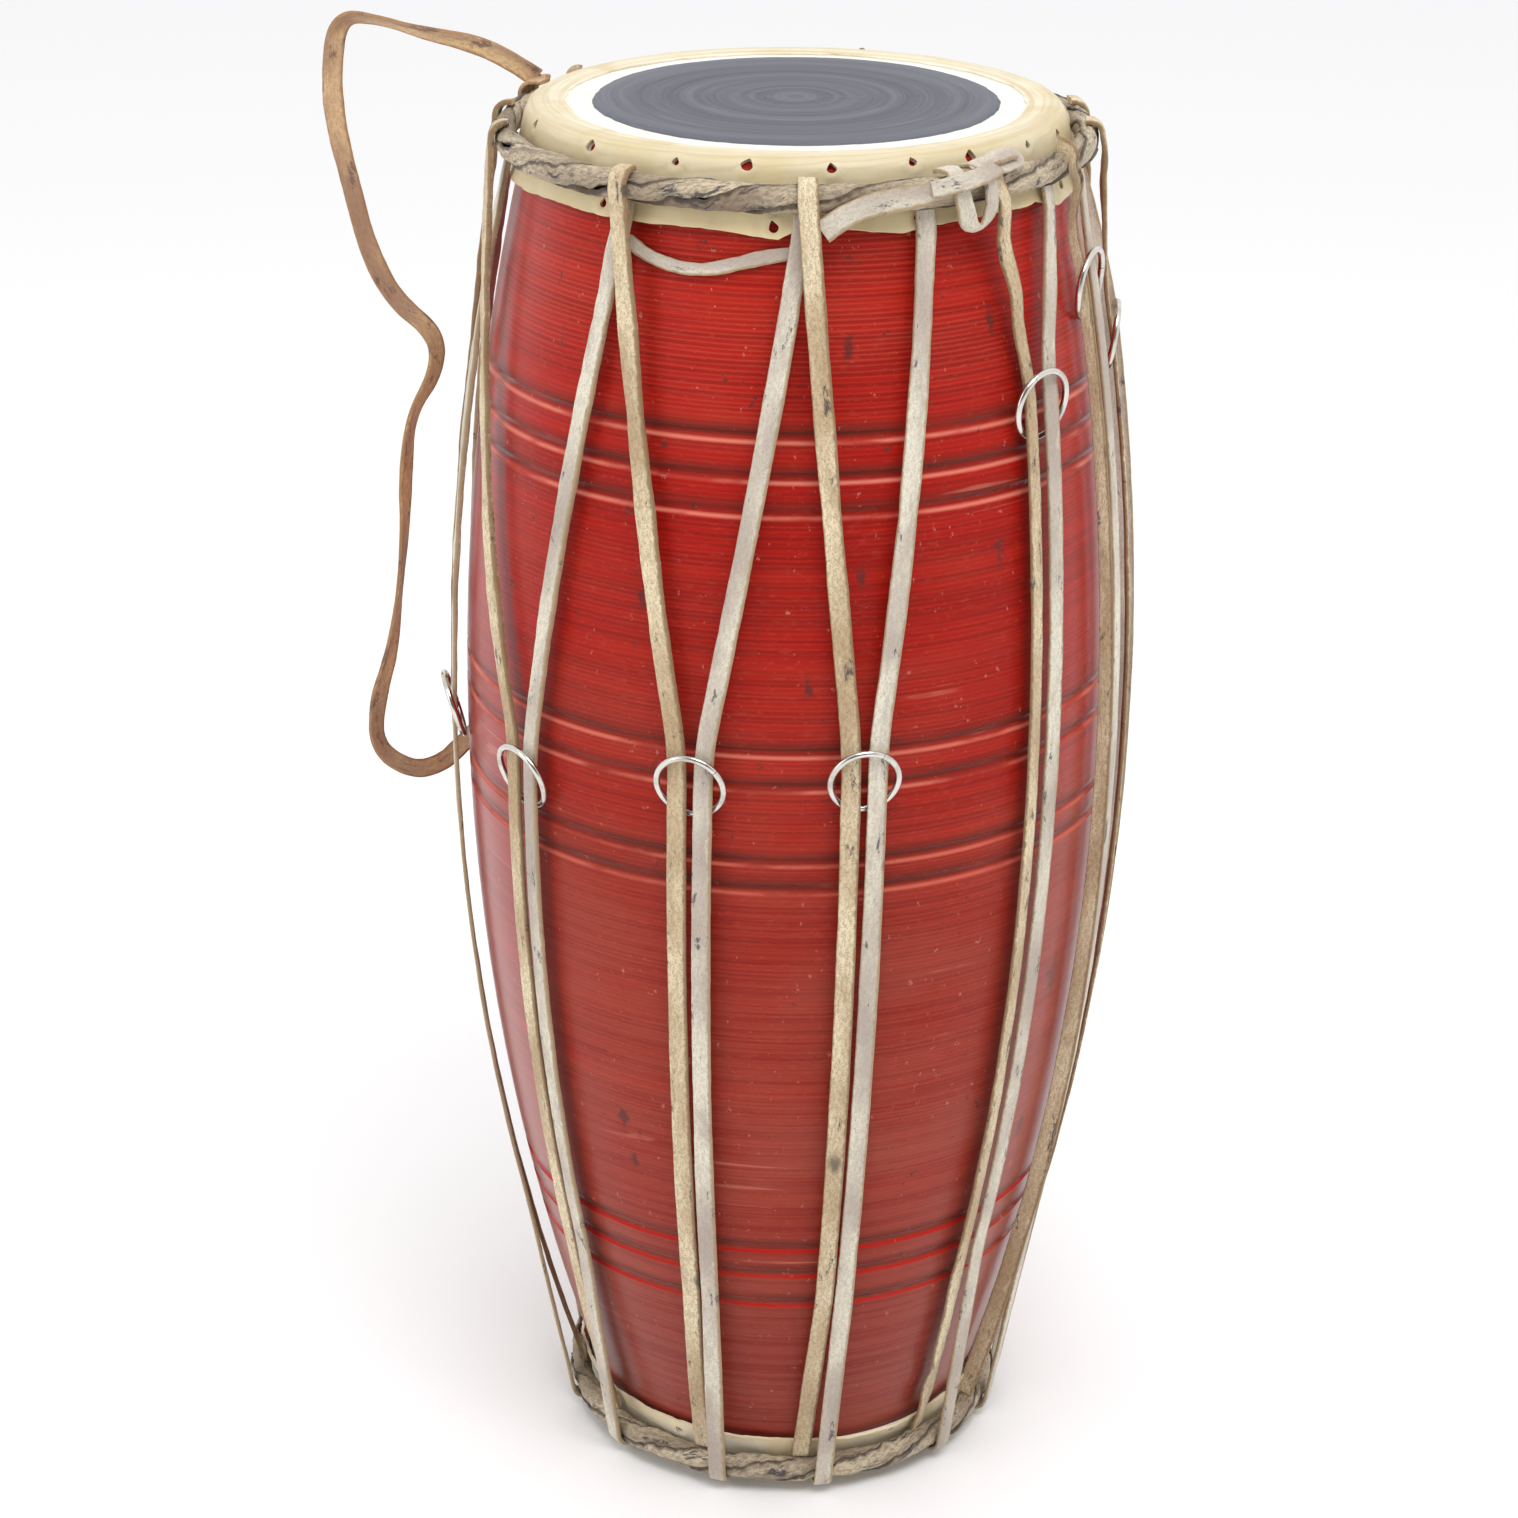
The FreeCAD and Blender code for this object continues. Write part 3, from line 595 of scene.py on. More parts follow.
# %% Turning an outline
def turned(name, outline, steps):
    bpy.ops.mesh.primitive_plane_add(size=MM)
    piece = bpy.context.object
    piece.name = name
    open_edit(piece, "VERT")
    bpy.ops.mesh.select_all(action="SELECT")
    bpy.ops.mesh.merge(type="CENTER")
    bpy.ops.transform.translate(value=(outline[0][0], 0, outline[0][1]))
    for (r0, z0), (r1, z1) in zip(outline, outline[1:]):
        bpy.ops.mesh.extrude_region_move(TRANSFORM_OT_translate={"value": (r1 - r0, 0, z1 - z0)})
    bpy.ops.mesh.select_all(action="SELECT")
    bpy.ops.mesh.spin(steps=steps, angle=2 * math.pi, center=(0, 0, 0), axis=(0, 0, 1))
    bpy.ops.mesh.select_all(action="SELECT")
    bpy.ops.mesh.remove_doubles(threshold=1e-6)
    bpy.ops.mesh.normals_make_consistent(inside=False)
    close_edit()
    return piece


def outward_face(piece):
    """Turns the sheet's normals away from the drum, so that Solidify thickens it inwards."""
    face = max(piece.data.polygons, key=lambda p: math.hypot(p.center.x, p.center.y))
    if face.normal @ Vector((face.center.x, face.center.y, 0)) < 0:
        open_edit(piece, "FACE")
        bpy.ops.mesh.select_all(action="SELECT")
        bpy.ops.mesh.flip_normals()
        close_edit()


# %% [markdown]
# ## Slits and holes in the collars
#
# The hide strips of the hoops are threaded through slits in the collar. At each slit the collar is
# puckered, and the red wood shows through. The slits are real openings here: pointed pegs are set
# round the head, and a Boolean modifier takes them out of both skins. Painted dark spots would
# look flat from the side.

# %% Pegs for the slits
def peg_blank():
    """A pointed oval peg along z, 1 across."""
    bpy.ops.mesh.primitive_circle_add(vertices=20, radius=0.5, fill_type="NGON")
    peg = bpy.context.object
    peg.name = "peg_blank"
    open_edit(peg, "FACE")
    bpy.ops.mesh.select_all(action="SELECT")
    bpy.ops.transform.translate(value=(0, 0, -0.5))
    bpy.ops.mesh.extrude_region_move(TRANSFORM_OT_translate={"value": (0, 0, 1)})
    bpy.ops.mesh.select_all(action="SELECT")
    bpy.ops.mesh.normals_make_consistent(inside=False)
    close_edit()
    places = points_of(peg)
    up = places[:, 1] > 0
    places[up, 0] *= 1 - 1.3 * places[up, 1] ** 1.1
    places[up, 1] *= 1.5
    move_points(peg, places)
    return peg


peg = peg_blank()
top_slits = ((-70, 476.3), (-46, 476.6), (-24.4, 476.4), (-9.6, 477.0), (7.2, 476.4), (24, 477.0),
             (37.6, 476.4), (55, 476.0), (69.9, 474.9), (88, 476.3), (109, 476.6), (128, 476.2),
             (147, 476.8), (170, 476.2), (191, 476.5), (212, 476.7), (236, 476.2), (262, 476.5))
top_holes = ((-39.7, 461.4), (-3.9, 459.6), (23.7, 461.2), (66, 461.0), (98, 460.5), (131, 460.0),
             (160, 461.3), (196, 460.2), (225, 461.0), (-88, 460.6))
bottom_holes = ((32, 17.6), (-30, 16.5), (75, 17.2), (120, 17.8), (170, 16.8), (214, 17.6), (-75, 17.4))


def pegs(name, places, off, wide, tall, side):
    """Pegs standing square on the collar, joined."""
    made = []
    for number, (degrees, height) in enumerate(places):
        height *= MM
        out, along = direction(degrees)
        middle_height = (top_rim if side > 0 else bottom_rim) - side * rim_round
        middle_radius = side_radius(middle_height, -rim_round)
        if side * (height - middle_height) > 0:
            slope = math.asin(min(1, (height - middle_height) / (rim_round + off)))
            radius = middle_radius + (rim_round + off) * math.cos(slope)
        else:
            slope = math.asin((height - belly_height) / side_curve)
            radius = side_radius(height, off)
        normal = out * math.cos(slope) + np.array([0, 0, math.sin(slope)])
        up = np.cross(normal, along)
        up = up if up[2] > 0 else -up
        one = copy_of(peg, "peg")
        size = 1 + 0.25 * math.sin(number * 2.4)
        lean = math.radians(18 * math.sin(number * 1.7))
        a = along * math.cos(lean) + up * math.sin(lean)
        b = np.cross(normal, a)
        b = b if b[2] > 0 else -b
        a = np.cross(b, normal)
        place = Matrix((a * wide * size, b * tall * size, normal * 5 * MM)).transposed().to_4x4()
        one.data.transform(Matrix.Translation(out * radius + np.array([0, 0, height])) @ place)
        made.append(one)
    return join(made, name)


slit_pegs = pegs("slit_pegs", top_slits, 2 * MM, 3.3 * MM, 2.7 * MM, 1)
hole_pegs = pegs("hole_pegs", top_holes, 2 * MM, 2.6 * MM, 2.6 * MM, 1)
low_pegs = pegs("low_pegs", bottom_holes, 2 * MM, 2.4 * MM, 2.4 * MM, -1)
print("slits", len(top_slits), "holes", len(top_holes) + len(bottom_holes))

# %% [markdown]
# ## The skins and collars
#
# A head has two layers: the skin that sounds, and over it a collar with a large hole. Wet hide is
# pulled over the rim and dries there, so the collar hugs the shoulder, and its free edge below the
# hoop stays wavy. The collar is turned from the outline, its points are pushed about as the hide
# would be, and then it gets its thickness and its slits.

# %% Collars
# The free edge was cut by eye: its height at these angles round the front.
edge_angles = (-90, -70, -50, -39, -30, -17, -6, -3, 1, 10, 21, 26, 42, 54, 63, 75, 92)
edge_rises = (2.0, 2.6, 3.6, 3.0, 3.6, 4.0, 1.8, 1.4, 5.0, 4.6, 2.4, 4.0, 4.6, 4.8, 0.6, 2.6, 3.4)
low_edge_rises = (0.4, -1.0, -1.4, -1.5, -1.6, -2.0, -2.2, -2.4, -3.0, -3.6, -4.8, -4.9, -3.4, -1.6,
                  -0.6, 0.6, 0.0)


def round_from_hand(degrees, angles, values, seed, spread):
    """Given values round the front, and seeded ones behind."""
    hand = np.interp(degrees, angles, values)
    chance = np.mean(values) + spread * uneven_round(np.radians(degrees), seed, 5)
    back = np.clip((np.abs(degrees) - 84) / 12, 0, 1)
    return hand * (1 - back) + chance * back


def dress_collar(piece, rim, side, rises, holes, seed):
    """Pushes the collar's points about as dried hide sits."""
    places = points_of(piece)
    radius = np.hypot(places[:, 0], places[:, 1])
    angle = np.arctan2(places[:, 0], -places[:, 1])
    degrees = np.degrees(angle)
    below = side * (rim - places[:, 2])
    free = np.clip((below - 12.5 * MM) / (10 * MM), 0, 1)
    rise = round_from_hand(degrees, edge_angles, rises, seed, 1.5) * MM
    places[:, 2] += free ** 1.3 * rise
    flare = 0.55 + 0.75 * uneven_round(angle, seed + 1, 9) + 0.35 * uneven_round(angle, seed + 2, 31)
    radius = radius + free * np.clip(flare, -0.1, 1.7) * MM
    shoulder = np.clip(1 - np.abs(below - 2 * MM) / (7 * MM), 0, 1)
    radius = radius + shoulder * 0.22 * MM * uneven_round(angle, seed + 3, 12)
    inner = np.clip(1 - (radius - radius.min()) / (3 * MM), 0, 1) * (below < 0.1 * MM)
    radius = radius + inner * 0.7 * MM * uneven_round(angle, seed + 4, 4)
    places[:, 2] -= side * inner * 0.55 * MM
    for at, height in holes:
        gap = np.abs((degrees - at + 180) % 360 - 180)
        away = np.hypot(gap * math.pi / 180 * radius, places[:, 2] - height * MM)
        radius = radius + 0.5 * MM * np.exp(-((away - 2.4 * MM) / (1.3 * MM)) ** 2)
    places[:, 0], places[:, 1] = radius * np.sin(angle), -radius * np.cos(angle)
    move_points(piece, places)


def make_collar(name, node, rim, side, hole, length, rises, holes, cutters, seed):
    collar = turned(name, skin_outline(rim, side, 2.0 * MM, hole, length, 0.9 * MM), 480)
    outward_face(collar)
    dress_collar(collar, rim, side, rises, holes, seed)
    apply_modifier(collar, "SOLIDIFY", thickness=0.9 * MM, offset=-1.0)
    for cutter in cutters:
        apply_modifier(collar, "BOOLEAN", operation="DIFFERENCE", solver="EXACT", object=cutter)
    print(name, len(collar.data.polygons), "faces")
    return finished(collar, node)


top_hole, top_skirt = 73.5 * MM, 22.6 * MM
low_hole, low_skirt = 54 * MM, 20 * MM
top_collar = make_collar("collar_of_playing_head", "top_head_collar", top_rim, 1, top_hole, top_skirt,
                         edge_rises, top_slits + top_holes, (slit_pegs, hole_pegs), 11)
low_collar = make_collar("collar_of_standing_head", "bottom_head_collar", bottom_rim, -1, low_hole,
                         low_skirt, low_edge_rises, bottom_holes, (low_pegs,), 47)

# %% Skins under the collars
def make_skin(name, node, rim, side, cutters):
    outline = [(0.0, rim + side * 0.9 * MM)] + skin_outline(rim, side, 0.9 * MM, 6 * MM, 15 * MM, 3 * MM)
    skin = turned(name, outline, 240)
    outward_face(skin)
    apply_modifier(skin, "SOLIDIFY", thickness=0.75 * MM, offset=-1.0)
    for cutter in cutters:
        apply_modifier(skin, "BOOLEAN", operation="DIFFERENCE", solver="EXACT", object=cutter)
    return finished(skin, node)


top_skin = make_skin("skin_of_playing_head", "top_head_skin", top_rim, 1, (slit_pegs,))
low_skin = make_skin("skin_of_standing_head", "bottom_head_skin", bottom_rim, -1, ())
print("skins", len(top_skin.data.polygons), len(low_skin.data.polygons), "faces")

# %% [markdown]
# ## The tuning paste
#
# The dark disc is a paste of flour, iron dust and water, rubbed on in many thin layers with a stone.
# The rubbing leaves rings that are not quite round, and a low crumbly edge. The disc is turned from
# its outline like the skins, and its edge is then worn unevenly.

# %% Paste discs
def make_paste(name, node, side, seed):
    low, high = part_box(node)
    face, base = (high.z, low.z) if side > 0 else (low.z, high.z)
    edge = high.y
    outline = [(0.0, face)] + [(r, face) for r in np.arange(4 * MM, edge - 2 * MM, 4 * MM)]
    outline += [(edge - 1.8 * MM, face), (edge - 1.2 * MM, face - side * 0.18 * MM),
                (edge - 0.6 * MM, face - side * 0.5 * MM), (edge - 0.15 * MM, face - side * 0.95 * MM),
                (edge, base)]
    paste = turned(name, outline, 300)
    outward_face(paste)
    places = points_of(paste)
    angle = np.arctan2(places[:, 0], -places[:, 1])
    radius = np.hypot(places[:, 0], places[:, 1])
    worn = np.clip((radius - (edge - 6 * MM)) / (6 * MM), 0, 1)
    ragged = 0.45 * uneven_round(angle, seed, 3) + 0.2 * uneven_round(angle, seed + 1, 40) - 0.35
    change = worn * ragged * MM
    places[:, 0] *= 1 + change / np.maximum(radius, MM)
    places[:, 1] *= 1 + change / np.maximum(radius, MM)
    dished = 0.12 * MM * (uneven_round(angle, seed + 2, 2) * np.sin(radius / (9 * MM)) - 1)
    places[:, 2] += side * dished * (worn < 0.9) * (1 if side > 0 else 0.3)
    move_points(paste, places)
    return finished(paste, node, 60)


top_paste = make_paste("paste_of_playing_head", "top_tuning_paste", 1, 71)
low_paste = make_paste("paste_of_standing_head", "bottom_tuning_paste", -1, 73)
print("paste", len(top_paste.data.polygons), "faces")

# %% [markdown]
# ## The twisted hoops
#
# Each hoop is made of a few broad hide ribbons, threaded through the collar and twisted round each
# other while wet. They are squeezed thin where a run of the lacing goes over them, and swell
# between. A ribbon is a blank wound round a ring-shaped core: the blank's length goes round the
# head, and its width goes round the core.

# %% Ribbons of the hoops
hoop_half = 3.75 * MM
ribbon_blank = strip_blank("ribbon_blank", 11 * MM, 1.7 * MM, 0.5 * MM, (24, 24), 8)


def wind_ribbon(name, node, squeezed_at, turns, phase, seed):
    low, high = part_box(node)
    height, tall = (low.z + high.z) / 2, (high.z - low.z) / 2
    wide = hoop_half
    core_radius = high.y - wide
    ribbon = copy_of(ribbon_blank, name)
    flat = points_of(ribbon)
    angle = 2 * math.pi * 1.004 * flat[:, 0] + 3.4
    degrees = np.degrees(angle) % 360
    edge = flat[:, 1] / (5.5 * MM)
    swell = 1.04 + 0.10 * uneven_round(angle, seed, 7)
    for at in squeezed_at:
        away = np.abs((degrees - at + 180) % 360 - 180)
        swell = swell - (0.16 + 0.10 * uneven_round(angle, seed, 7)) * np.exp(-(away / 3.6) ** 4)
    swell = np.clip(swell, 0.80, 1.14)
    wander = 0.45 * uneven_round(angle, seed + 1, 5) + 0.16 * uneven_round(angle, seed + 2, 17)
    wound = turns * angle + phase + wander
    narrow = 0.86 + 0.20 * uneven_round(angle, seed + 3, 8)
    round_core = wound + flat[:, 1] * narrow / (4.1 * MM)
    # One edge of each ribbon tucks under the next, and the hide is wrinkled along its length.
    pitch_of_folds = 5.5 + 1.2 * uneven_round(angle, seed + 4, 3)
    ridge = 0.20 * np.sin(edge * pitch_of_folds + 3 * uneven_round(angle, seed + 5, 6))
    ridge += 0.07 * np.sin(edge * 13 + 4 * uneven_round(angle, seed + 6, 9))
    ridge += 0.05 * uneven_round(angle + 0.02 * edge, seed + 7, 60, 4)
    reach = (0.78 + 0.145 * edge) * swell + (flat[:, 2] + ridge * MM) / (4.2 * MM)
    out = reach * wide * np.cos(round_core)
    up = reach * tall * 0.98 * np.sin(round_core)
    fourth = 1 - 0.10 * (np.cos(2 * round_core) ** 2) * (reach > 1)
    radius = core_radius + out * fourth
    places = [radius * np.sin(angle), -radius * np.cos(angle), height + up * fourth]
    move_points(ribbon, np.stack(places, 1))
    layer = ribbon.data.uv_layers.new(name="along_strip")
    corner = np.zeros(len(ribbon.data.loops), int)
    ribbon.data.loops.foreach_get("vertex_index", corner)
    length = angle[corner] * core_radius + seed * 0.31
    layer.data.foreach_set("uv", np.stack([length, flat[corner, 1] + 0.6 * flat[corner, 2]], 1).ravel())
    return finished(ribbon, node, 60)


def crossing_angle(run, top):
    places = points_of(run)
    end = places[np.argmax(places[:, 2]) if top else np.argmin(places[:, 2])]
    return math.degrees(math.atan2(end[0], -end[1])) % 360


top_crossings = [crossing_angle(runs["left", n], True) for n in range(1, 13)]
low_crossings = [crossing_angle(runs["right", n], False) for n in range(1, 13)]
ribbons = []
for number in range(3):
    phase = number * 2 * math.pi / 3
    ribbons.append(wind_ribbon("hoop_ribbon_top_%d" % (number + 1), "top_hoop_braid", top_crossings, 6,
                               phase + 0.6, 101 + 9 * number))
    ribbons.append(wind_ribbon("hoop_ribbon_bottom_%d" % (number + 1), "bottom_hoop_braid", low_crossings, 5,
                               phase, 151 + 9 * number))
print("ribbons", len(ribbons), "with", len(ribbons[0].data.polygons), "faces each")

# %% [markdown]
# ## The loose end of the lacing
#
# Near the front the thong ends. A wide last stretch lies along the hoop, goes round it in a knot
# that hangs below it in a round loop, and a thinner tail is tucked under two runs. The stretch and
# the tail follow the measured model's bands. The knot is laid along listed lines round the hoop,
# given as outwards, sideways and up from the hoop's middle, because that is how it was tied.

# %% Last stretch and tail
short_half = 3.5 * MM
short_blank = strip_blank("short_blank", 2 * short_half, 1.5 * MM, 0.5 * MM, (70,))


def laid_band(name, node, count, shape, lift, longer):
    """A measured band as hide. Its low end is longer, so that it goes out of sight under a run."""
    centre, across, facing, gone = band_frames(node, count, thong_thickness, 0.0)
    centre = np.vstack([centre[0] + unit(centre[0] - centre[1]) * longer, centre])
    across, facing = np.vstack([across[0], across]), np.vstack([facing[0], facing])
    gone = np.concatenate([[0], gone + longer])
    piece = lay(short_blank, name, centre + facing * lift, across, facing, gone, 3.1, shape)
    return finished(piece, node)


def end_shape(along, y, z):
    edge = y / short_half
    wide = 1.02 + 0.10 * uneven(along, 31, 0.05)
    return y * wide, z * 0.95 + 0.3 * MM * (edge ** 2 - 0.3) * uneven(along, 32, 0.06) + 0.1 * MM


def tail_shape(along, y, z):
    edge = y / short_half
    wide = 0.60 + 0.09 * uneven(along, 35, 0.05)
    return y * wide, z * 0.8 + 0.25 * MM * edge * uneven(along, 36, 0.04)


end_band = laid_band("thong_last_stretch", "lacing_end_band", 60, end_shape, 0.1 * MM, 2 * MM)
tail = laid_band("thong_tail", "lacing_tail", 90, tail_shape, 0.0, 4 * MM)

# %% Strips laid round a hoop
def hand_line(line, count):
    """Even points along the curve through given points in mm, and the length so far."""
    return even_line(line_through([tuple(v * MM for v in p) for p in line], 10), count)


def round_hoop(name, node, degrees, line, blank, shape, shift):
    """A strip along given points, in mm outwards, sideways and up from the hoop's middle."""
    low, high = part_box(node)
    radius = high.y - hoop_half
    height = (low.z + high.z) / 2
    local, gone = hand_line(line, 80)
    forward = unit(np.gradient(local, axis=0))
    away = local.copy()
    away[:, 1] *= 0.15
    away[:, 2] *= 0.8
    across = unit(np.cross(forward, unit(away + np.array([1e-5, 0, 0]))))
    facing = np.cross(across, forward)
    angle = math.radians(degrees) + local[:, 1] / radius
    out = np.stack([np.sin(angle), -np.cos(angle), 0 * angle], 1)
    along = np.stack([np.cos(angle), np.sin(angle), 0 * angle], 1)
    up = np.array([0.0, 0.0, 1.0])
    turn = lambda v: out * v[:, 0:1] + along * v[:, 1:2] + up * v[:, 2:3]
    centre = out * (radius + local[:, 0:1]) + up * (height + local[:, 2:3])
    return lay(blank, name, centre, turn(across), turn(facing), gone, shift, shape)


knot_blank = strip_blank("knot_blank", 6.0 * MM, 1.5 * MM, 0.5 * MM, (90,))


def knot_shape(along, y, z):
    edge = y / (3.0 * MM)
    wide = 0.9 + 0.08 * uneven(along, 41, 0.03)
    return y * wide, z + 0.3 * MM * edge ** 2 * uneven(along, 42, 0.02)


knot_lines = (
    ((-3, -5, 6), (1, -4.5, 7.4), (5, -4, 6.4), (6.6, -3, 2), (6.6, -1.5, -4), (5.5, 0.5, -9.5),
     (5.2, 3.5, -11.6), (5.6, 6.6, -9.5), (6.9, 7.6, -4), (6.9, 7.2, 2), (5, 6.4, 6.6), (1, 5.6, 7.6),
     (-3, 5, 6)),
    ((6.0, -12, 2.5), (7.0, -7, 3.4), (8.4, -2, 4.6), (8.2, 3, 5.6), (6.6, 8, 6.6), (3.4, 12, 6.8),
     (0.4, 15, 5.4)),
    ((1.5, 3, 6.6), (3, 8, 8.2), (3.6, 14, 9.8), (4.2, 18, 9.8), (4.8, 18.6, 8.2), (4.4, 15, 6.8),
     (4, 9, 6.4)),
)
knot_parts = [round_hoop("knot", "top_hoop_braid", 31.5, line, knot_blank, knot_shape, 4 + i)
              for i, line in enumerate(knot_lines)]
knot = finished(join(knot_parts, "thong_end_knot"), "lacing_end_knot")
print("knot", len(knot.data.polygons), "faces")

# %% [markdown]
# The strap is tied with its own leather: twice round the larger hoop at one end, and once round a
# run of the lacing at the other. Both ties are strips on listed lines like the knot.

# %% Ties of the strap
tie_blank = strip_blank("tie_blank", 6.4 * MM, 1.4 * MM, 0.4 * MM, (60,))
strap_tie_lines = (
    ((1.0, 0.5, 8.2), (0.4, -0.5, 7.6), (3.5, -1.5, 7.0), (6.2, -2.5, 3.4), (6.3, -3, -2), (4.2, -3, -7),
     (0, -2.5, -7.6)),
    ((-2.5, 3.6, 7.2), (1, 3.2, 7.8), (5.6, 2.8, 5.6), (6.6, 2.2, 0), (6.0, 2.0, -6), (5.2, 2.2, -11),
     (5.4, 2.6, -14)),
)
strap_ties = [round_hoop("tie", "top_hoop_braid", -116, line, tie_blank, None, 2 + i)
              for i, line in enumerate(strap_tie_lines)]
top_tie = finished(join(strap_ties, "strap_tie_on_hoop"), "strap_top_knot")


def tie_on_run(name, node, lines):
    """Strips round a run of the lacing, in mm outwards, sideways and up from the tie's middle."""
    low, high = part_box(node)
    middle = np.array((low + high) / 2)
    out = unit(np.array([middle[0], middle[1], 0.0]))
    along = np.array([-out[1], out[0], 0.0])
    up = np.array([0.0, 0.0, 1.0])
    made = []
    for number, line in enumerate(lines):
        local, gone = hand_line(line, 60)
        forward = unit(np.gradient(local, axis=0))
        away = local + np.array([2.5 * MM, 0, 0])
        away[:, 2] *= 0.2
        across = unit(np.cross(forward, unit(away)))
        facing = np.cross(across, forward)
        turn = lambda v: v[:, 0:1] * out + v[:, 1:2] * along + v[:, 2:3] * up
        made.append(lay(tie_blank, "tie", middle + turn(local), turn(across), turn(facing), gone, 5 + number))
    return finished(join(made, name), node)


side_tie_lines = (
    ((-1.9, -4.2, 1.5), (-0.6, -4.9, 1.2), (0.5, -2.5, 0.8), (0.7, 0, 0), (0.5, 2.5, -0.8),
     (-0.6, 4.9, -1.2), (-1.9, 4.2, -1.5)),
    ((0.2, 3.5, 4.5), (1.6, 1.5, 2), (2.0, 0, 0), (1.7, -1.5, -3), (1.2, -2.2, -8), (1.0, -1.8, -13)),
)
side_tie = tie_on_run("strap_tie_on_lacing", "strap_side_knot", side_tie_lines)
print("ties", len(top_tie.data.polygons) + len(side_tie.data.polygons), "faces")

# %% Blanks, pegs and templates have done their work
for spare in (strap_blank, thong_blank, ring_blank, ribbon_blank, short_blank, knot_blank, tie_blank,
              peg, slit_pegs, hole_pegs, low_pegs):
    bpy.data.objects.remove(spare)

# %% [markdown]
# ## What moves with what
#
# Everything but the rings is one body. Each ring rides on its own body, which slides down its pair
# of runs. The strap is a free strip between its two ties.

# %% Bodies
for piece in [strap, top_collar, low_collar, top_skin, low_skin, top_paste, low_paste, end_band, tail, knot,
              top_tie, side_tie, *ribbons, *runs.values()]:
    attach(piece, "root")
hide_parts("carrying_strap")

# %% [markdown]
# ## Finishes
#
# A finish is a small graph of nodes. Each one starts from the place on the piece: from Object
# coordinates for the turned pieces, and from the map of length and width for the strips, so that
# fibres and stains follow a strip as it bends. The helper below adds a node and joins its inputs,
# which keeps the recipes short enough to read.

# %% Colours as they look on a screen
def shade(red, green, blue):
    """A screen colour, 0 to 255, as the linear colour that Blender mixes."""
    linear = lambda c: c / 255 / 12.92 if c <= 10 else ((c / 255 + 0.055) / 1.055) ** 2.4
    return tuple(linear(c) for c in (red, green, blue))


# %% Helper for node graphs
class Finish:
    def __init__(self, name):
        self.material = bpy.data.materials.new(name)
        self.material.use_nodes = True
        self.tree = self.material.node_tree
        self.shader = self.tree.nodes["Principled BSDF"]

    def add(self, kind, inputs=None, **settings):
        node = self.tree.nodes.new("ShaderNode" + kind)
        for name, value in settings.items():
            setattr(node, name, value)
        self.join(node, inputs or {})
        return node

    def join(self, node, inputs):
        for name, value in inputs.items():
            if isinstance(value, bpy.types.NodeSocket):
                self.tree.links.new(value, node.inputs[name])
            else:
                node.inputs[name].default_value = value

    def place(self, scale, map_name=None):
        """The place on the piece, stretched by this much along each axis."""
        if map_name:
            start = self.add("UVMap", uv_map=map_name).outputs[0]
        else:
            start = self.add("TexCoord").outputs["Object"]
        return self.add("Mapping", {"Vector": start, "Scale": scale}).outputs[0]

    def noise(self, place, scale, detail=4.0, rough=0.55, distortion=0.0):
        return self.add("TexNoise", {"Vector": place, "Scale": scale, "Detail": detail, "Roughness": rough,
                                     "Distortion": distortion}).outputs["Fac"]

    def steps(self, value, *stops, smooth=True):
        """A ramp: each stop is a position and a grey or a colour."""
        ramp = self.add("ValToRGB", {"Fac": value})
        ramp.color_ramp.interpolation = "EASE" if smooth else "LINEAR"
        band = ramp.color_ramp.elements
        while len(band) < len(stops):
            band.new(1.0)
        for element, (position, colour) in zip(band, stops):
            element.position = position
        for element, (position, colour) in zip(band, stops):
            element.color = (colour, colour, colour, 1) if isinstance(colour, (int, float)) else (*colour, 1)
        return ramp.outputs["Color"]

    def mix(self, share, one, two, kind="MIX"):
        node = self.add("Mix", data_type="RGBA", blend_type=kind)
        for index, value in ((0, share), (6, one), (7, two)):
            if isinstance(value, bpy.types.NodeSocket):
                self.tree.links.new(value, node.inputs[index])
            else:
                node.inputs[index].default_value = value if index == 0 else (*value, 1)
        return node.outputs[2]

    def tint(self, tone, pattern, start, end, colour):
        """The tone with a screen colour over it, as strong as the ramp over the pattern says."""
        return self.mix(self.steps(pattern, start, end), tone, shade(*colour))

    def sum(self, kind, one, two, three=None):
        node = self.add("Math", operation=kind)
        for index, value in enumerate((one, two, three)):
            if isinstance(value, bpy.types.NodeSocket):
                self.tree.links.new(value, node.inputs[index])
            elif value is not None:
                node.inputs[index].default_value = value
        return node.outputs[0]

    def window(self, value, low, high):
        """The value between two others as 0 to 1. A ramp has only 256 steps, so it gets a window."""
        return self.add("MapRange", {"Value": value, "From Min": low, "From Max": high}).outputs["Result"]

    def relief(self, height, depth, strength=1.0, under=None):
        inputs = {"Height": height, "Distance": depth, "Strength": strength}
        if under is not None:
            inputs["Normal"] = under
        return self.add("Bump", inputs).outputs[0]

    def show_on(self, *pieces):
        for piece in pieces:
            if piece.data.materials:
                for slot in range(len(piece.data.materials)):
                    piece.data.materials[slot] = self.material
            else:
                piece.data.materials.append(self.material)

# %% [markdown]
# ### Red lacquer
#
# Lacquer sticks are held against the turning barrel, so the colour lies in fine level lines. It is
# bright near the playing head and dull and dusty below. Over and above each turned groove lies a
# dark band, partly dirt and partly painted shade, and just below the groove a bright line, a painted
# highlight on the lip that is partly rubbed lacquer. A ramp over the height places this painted shade
# and highlight exactly, which a scattered pattern could not do. Noise that is stretched round the
# barrel makes the lines.

# %% Red lacquer
groove_groups = ((0.368, 0.404, (397.4, 385.2, 374.4)), (0.245, 0.304, (297.8, 286.3, 260.7, 251.0)),
                 (0.080, 0.117, (110.7, 99.4, 86.2)))


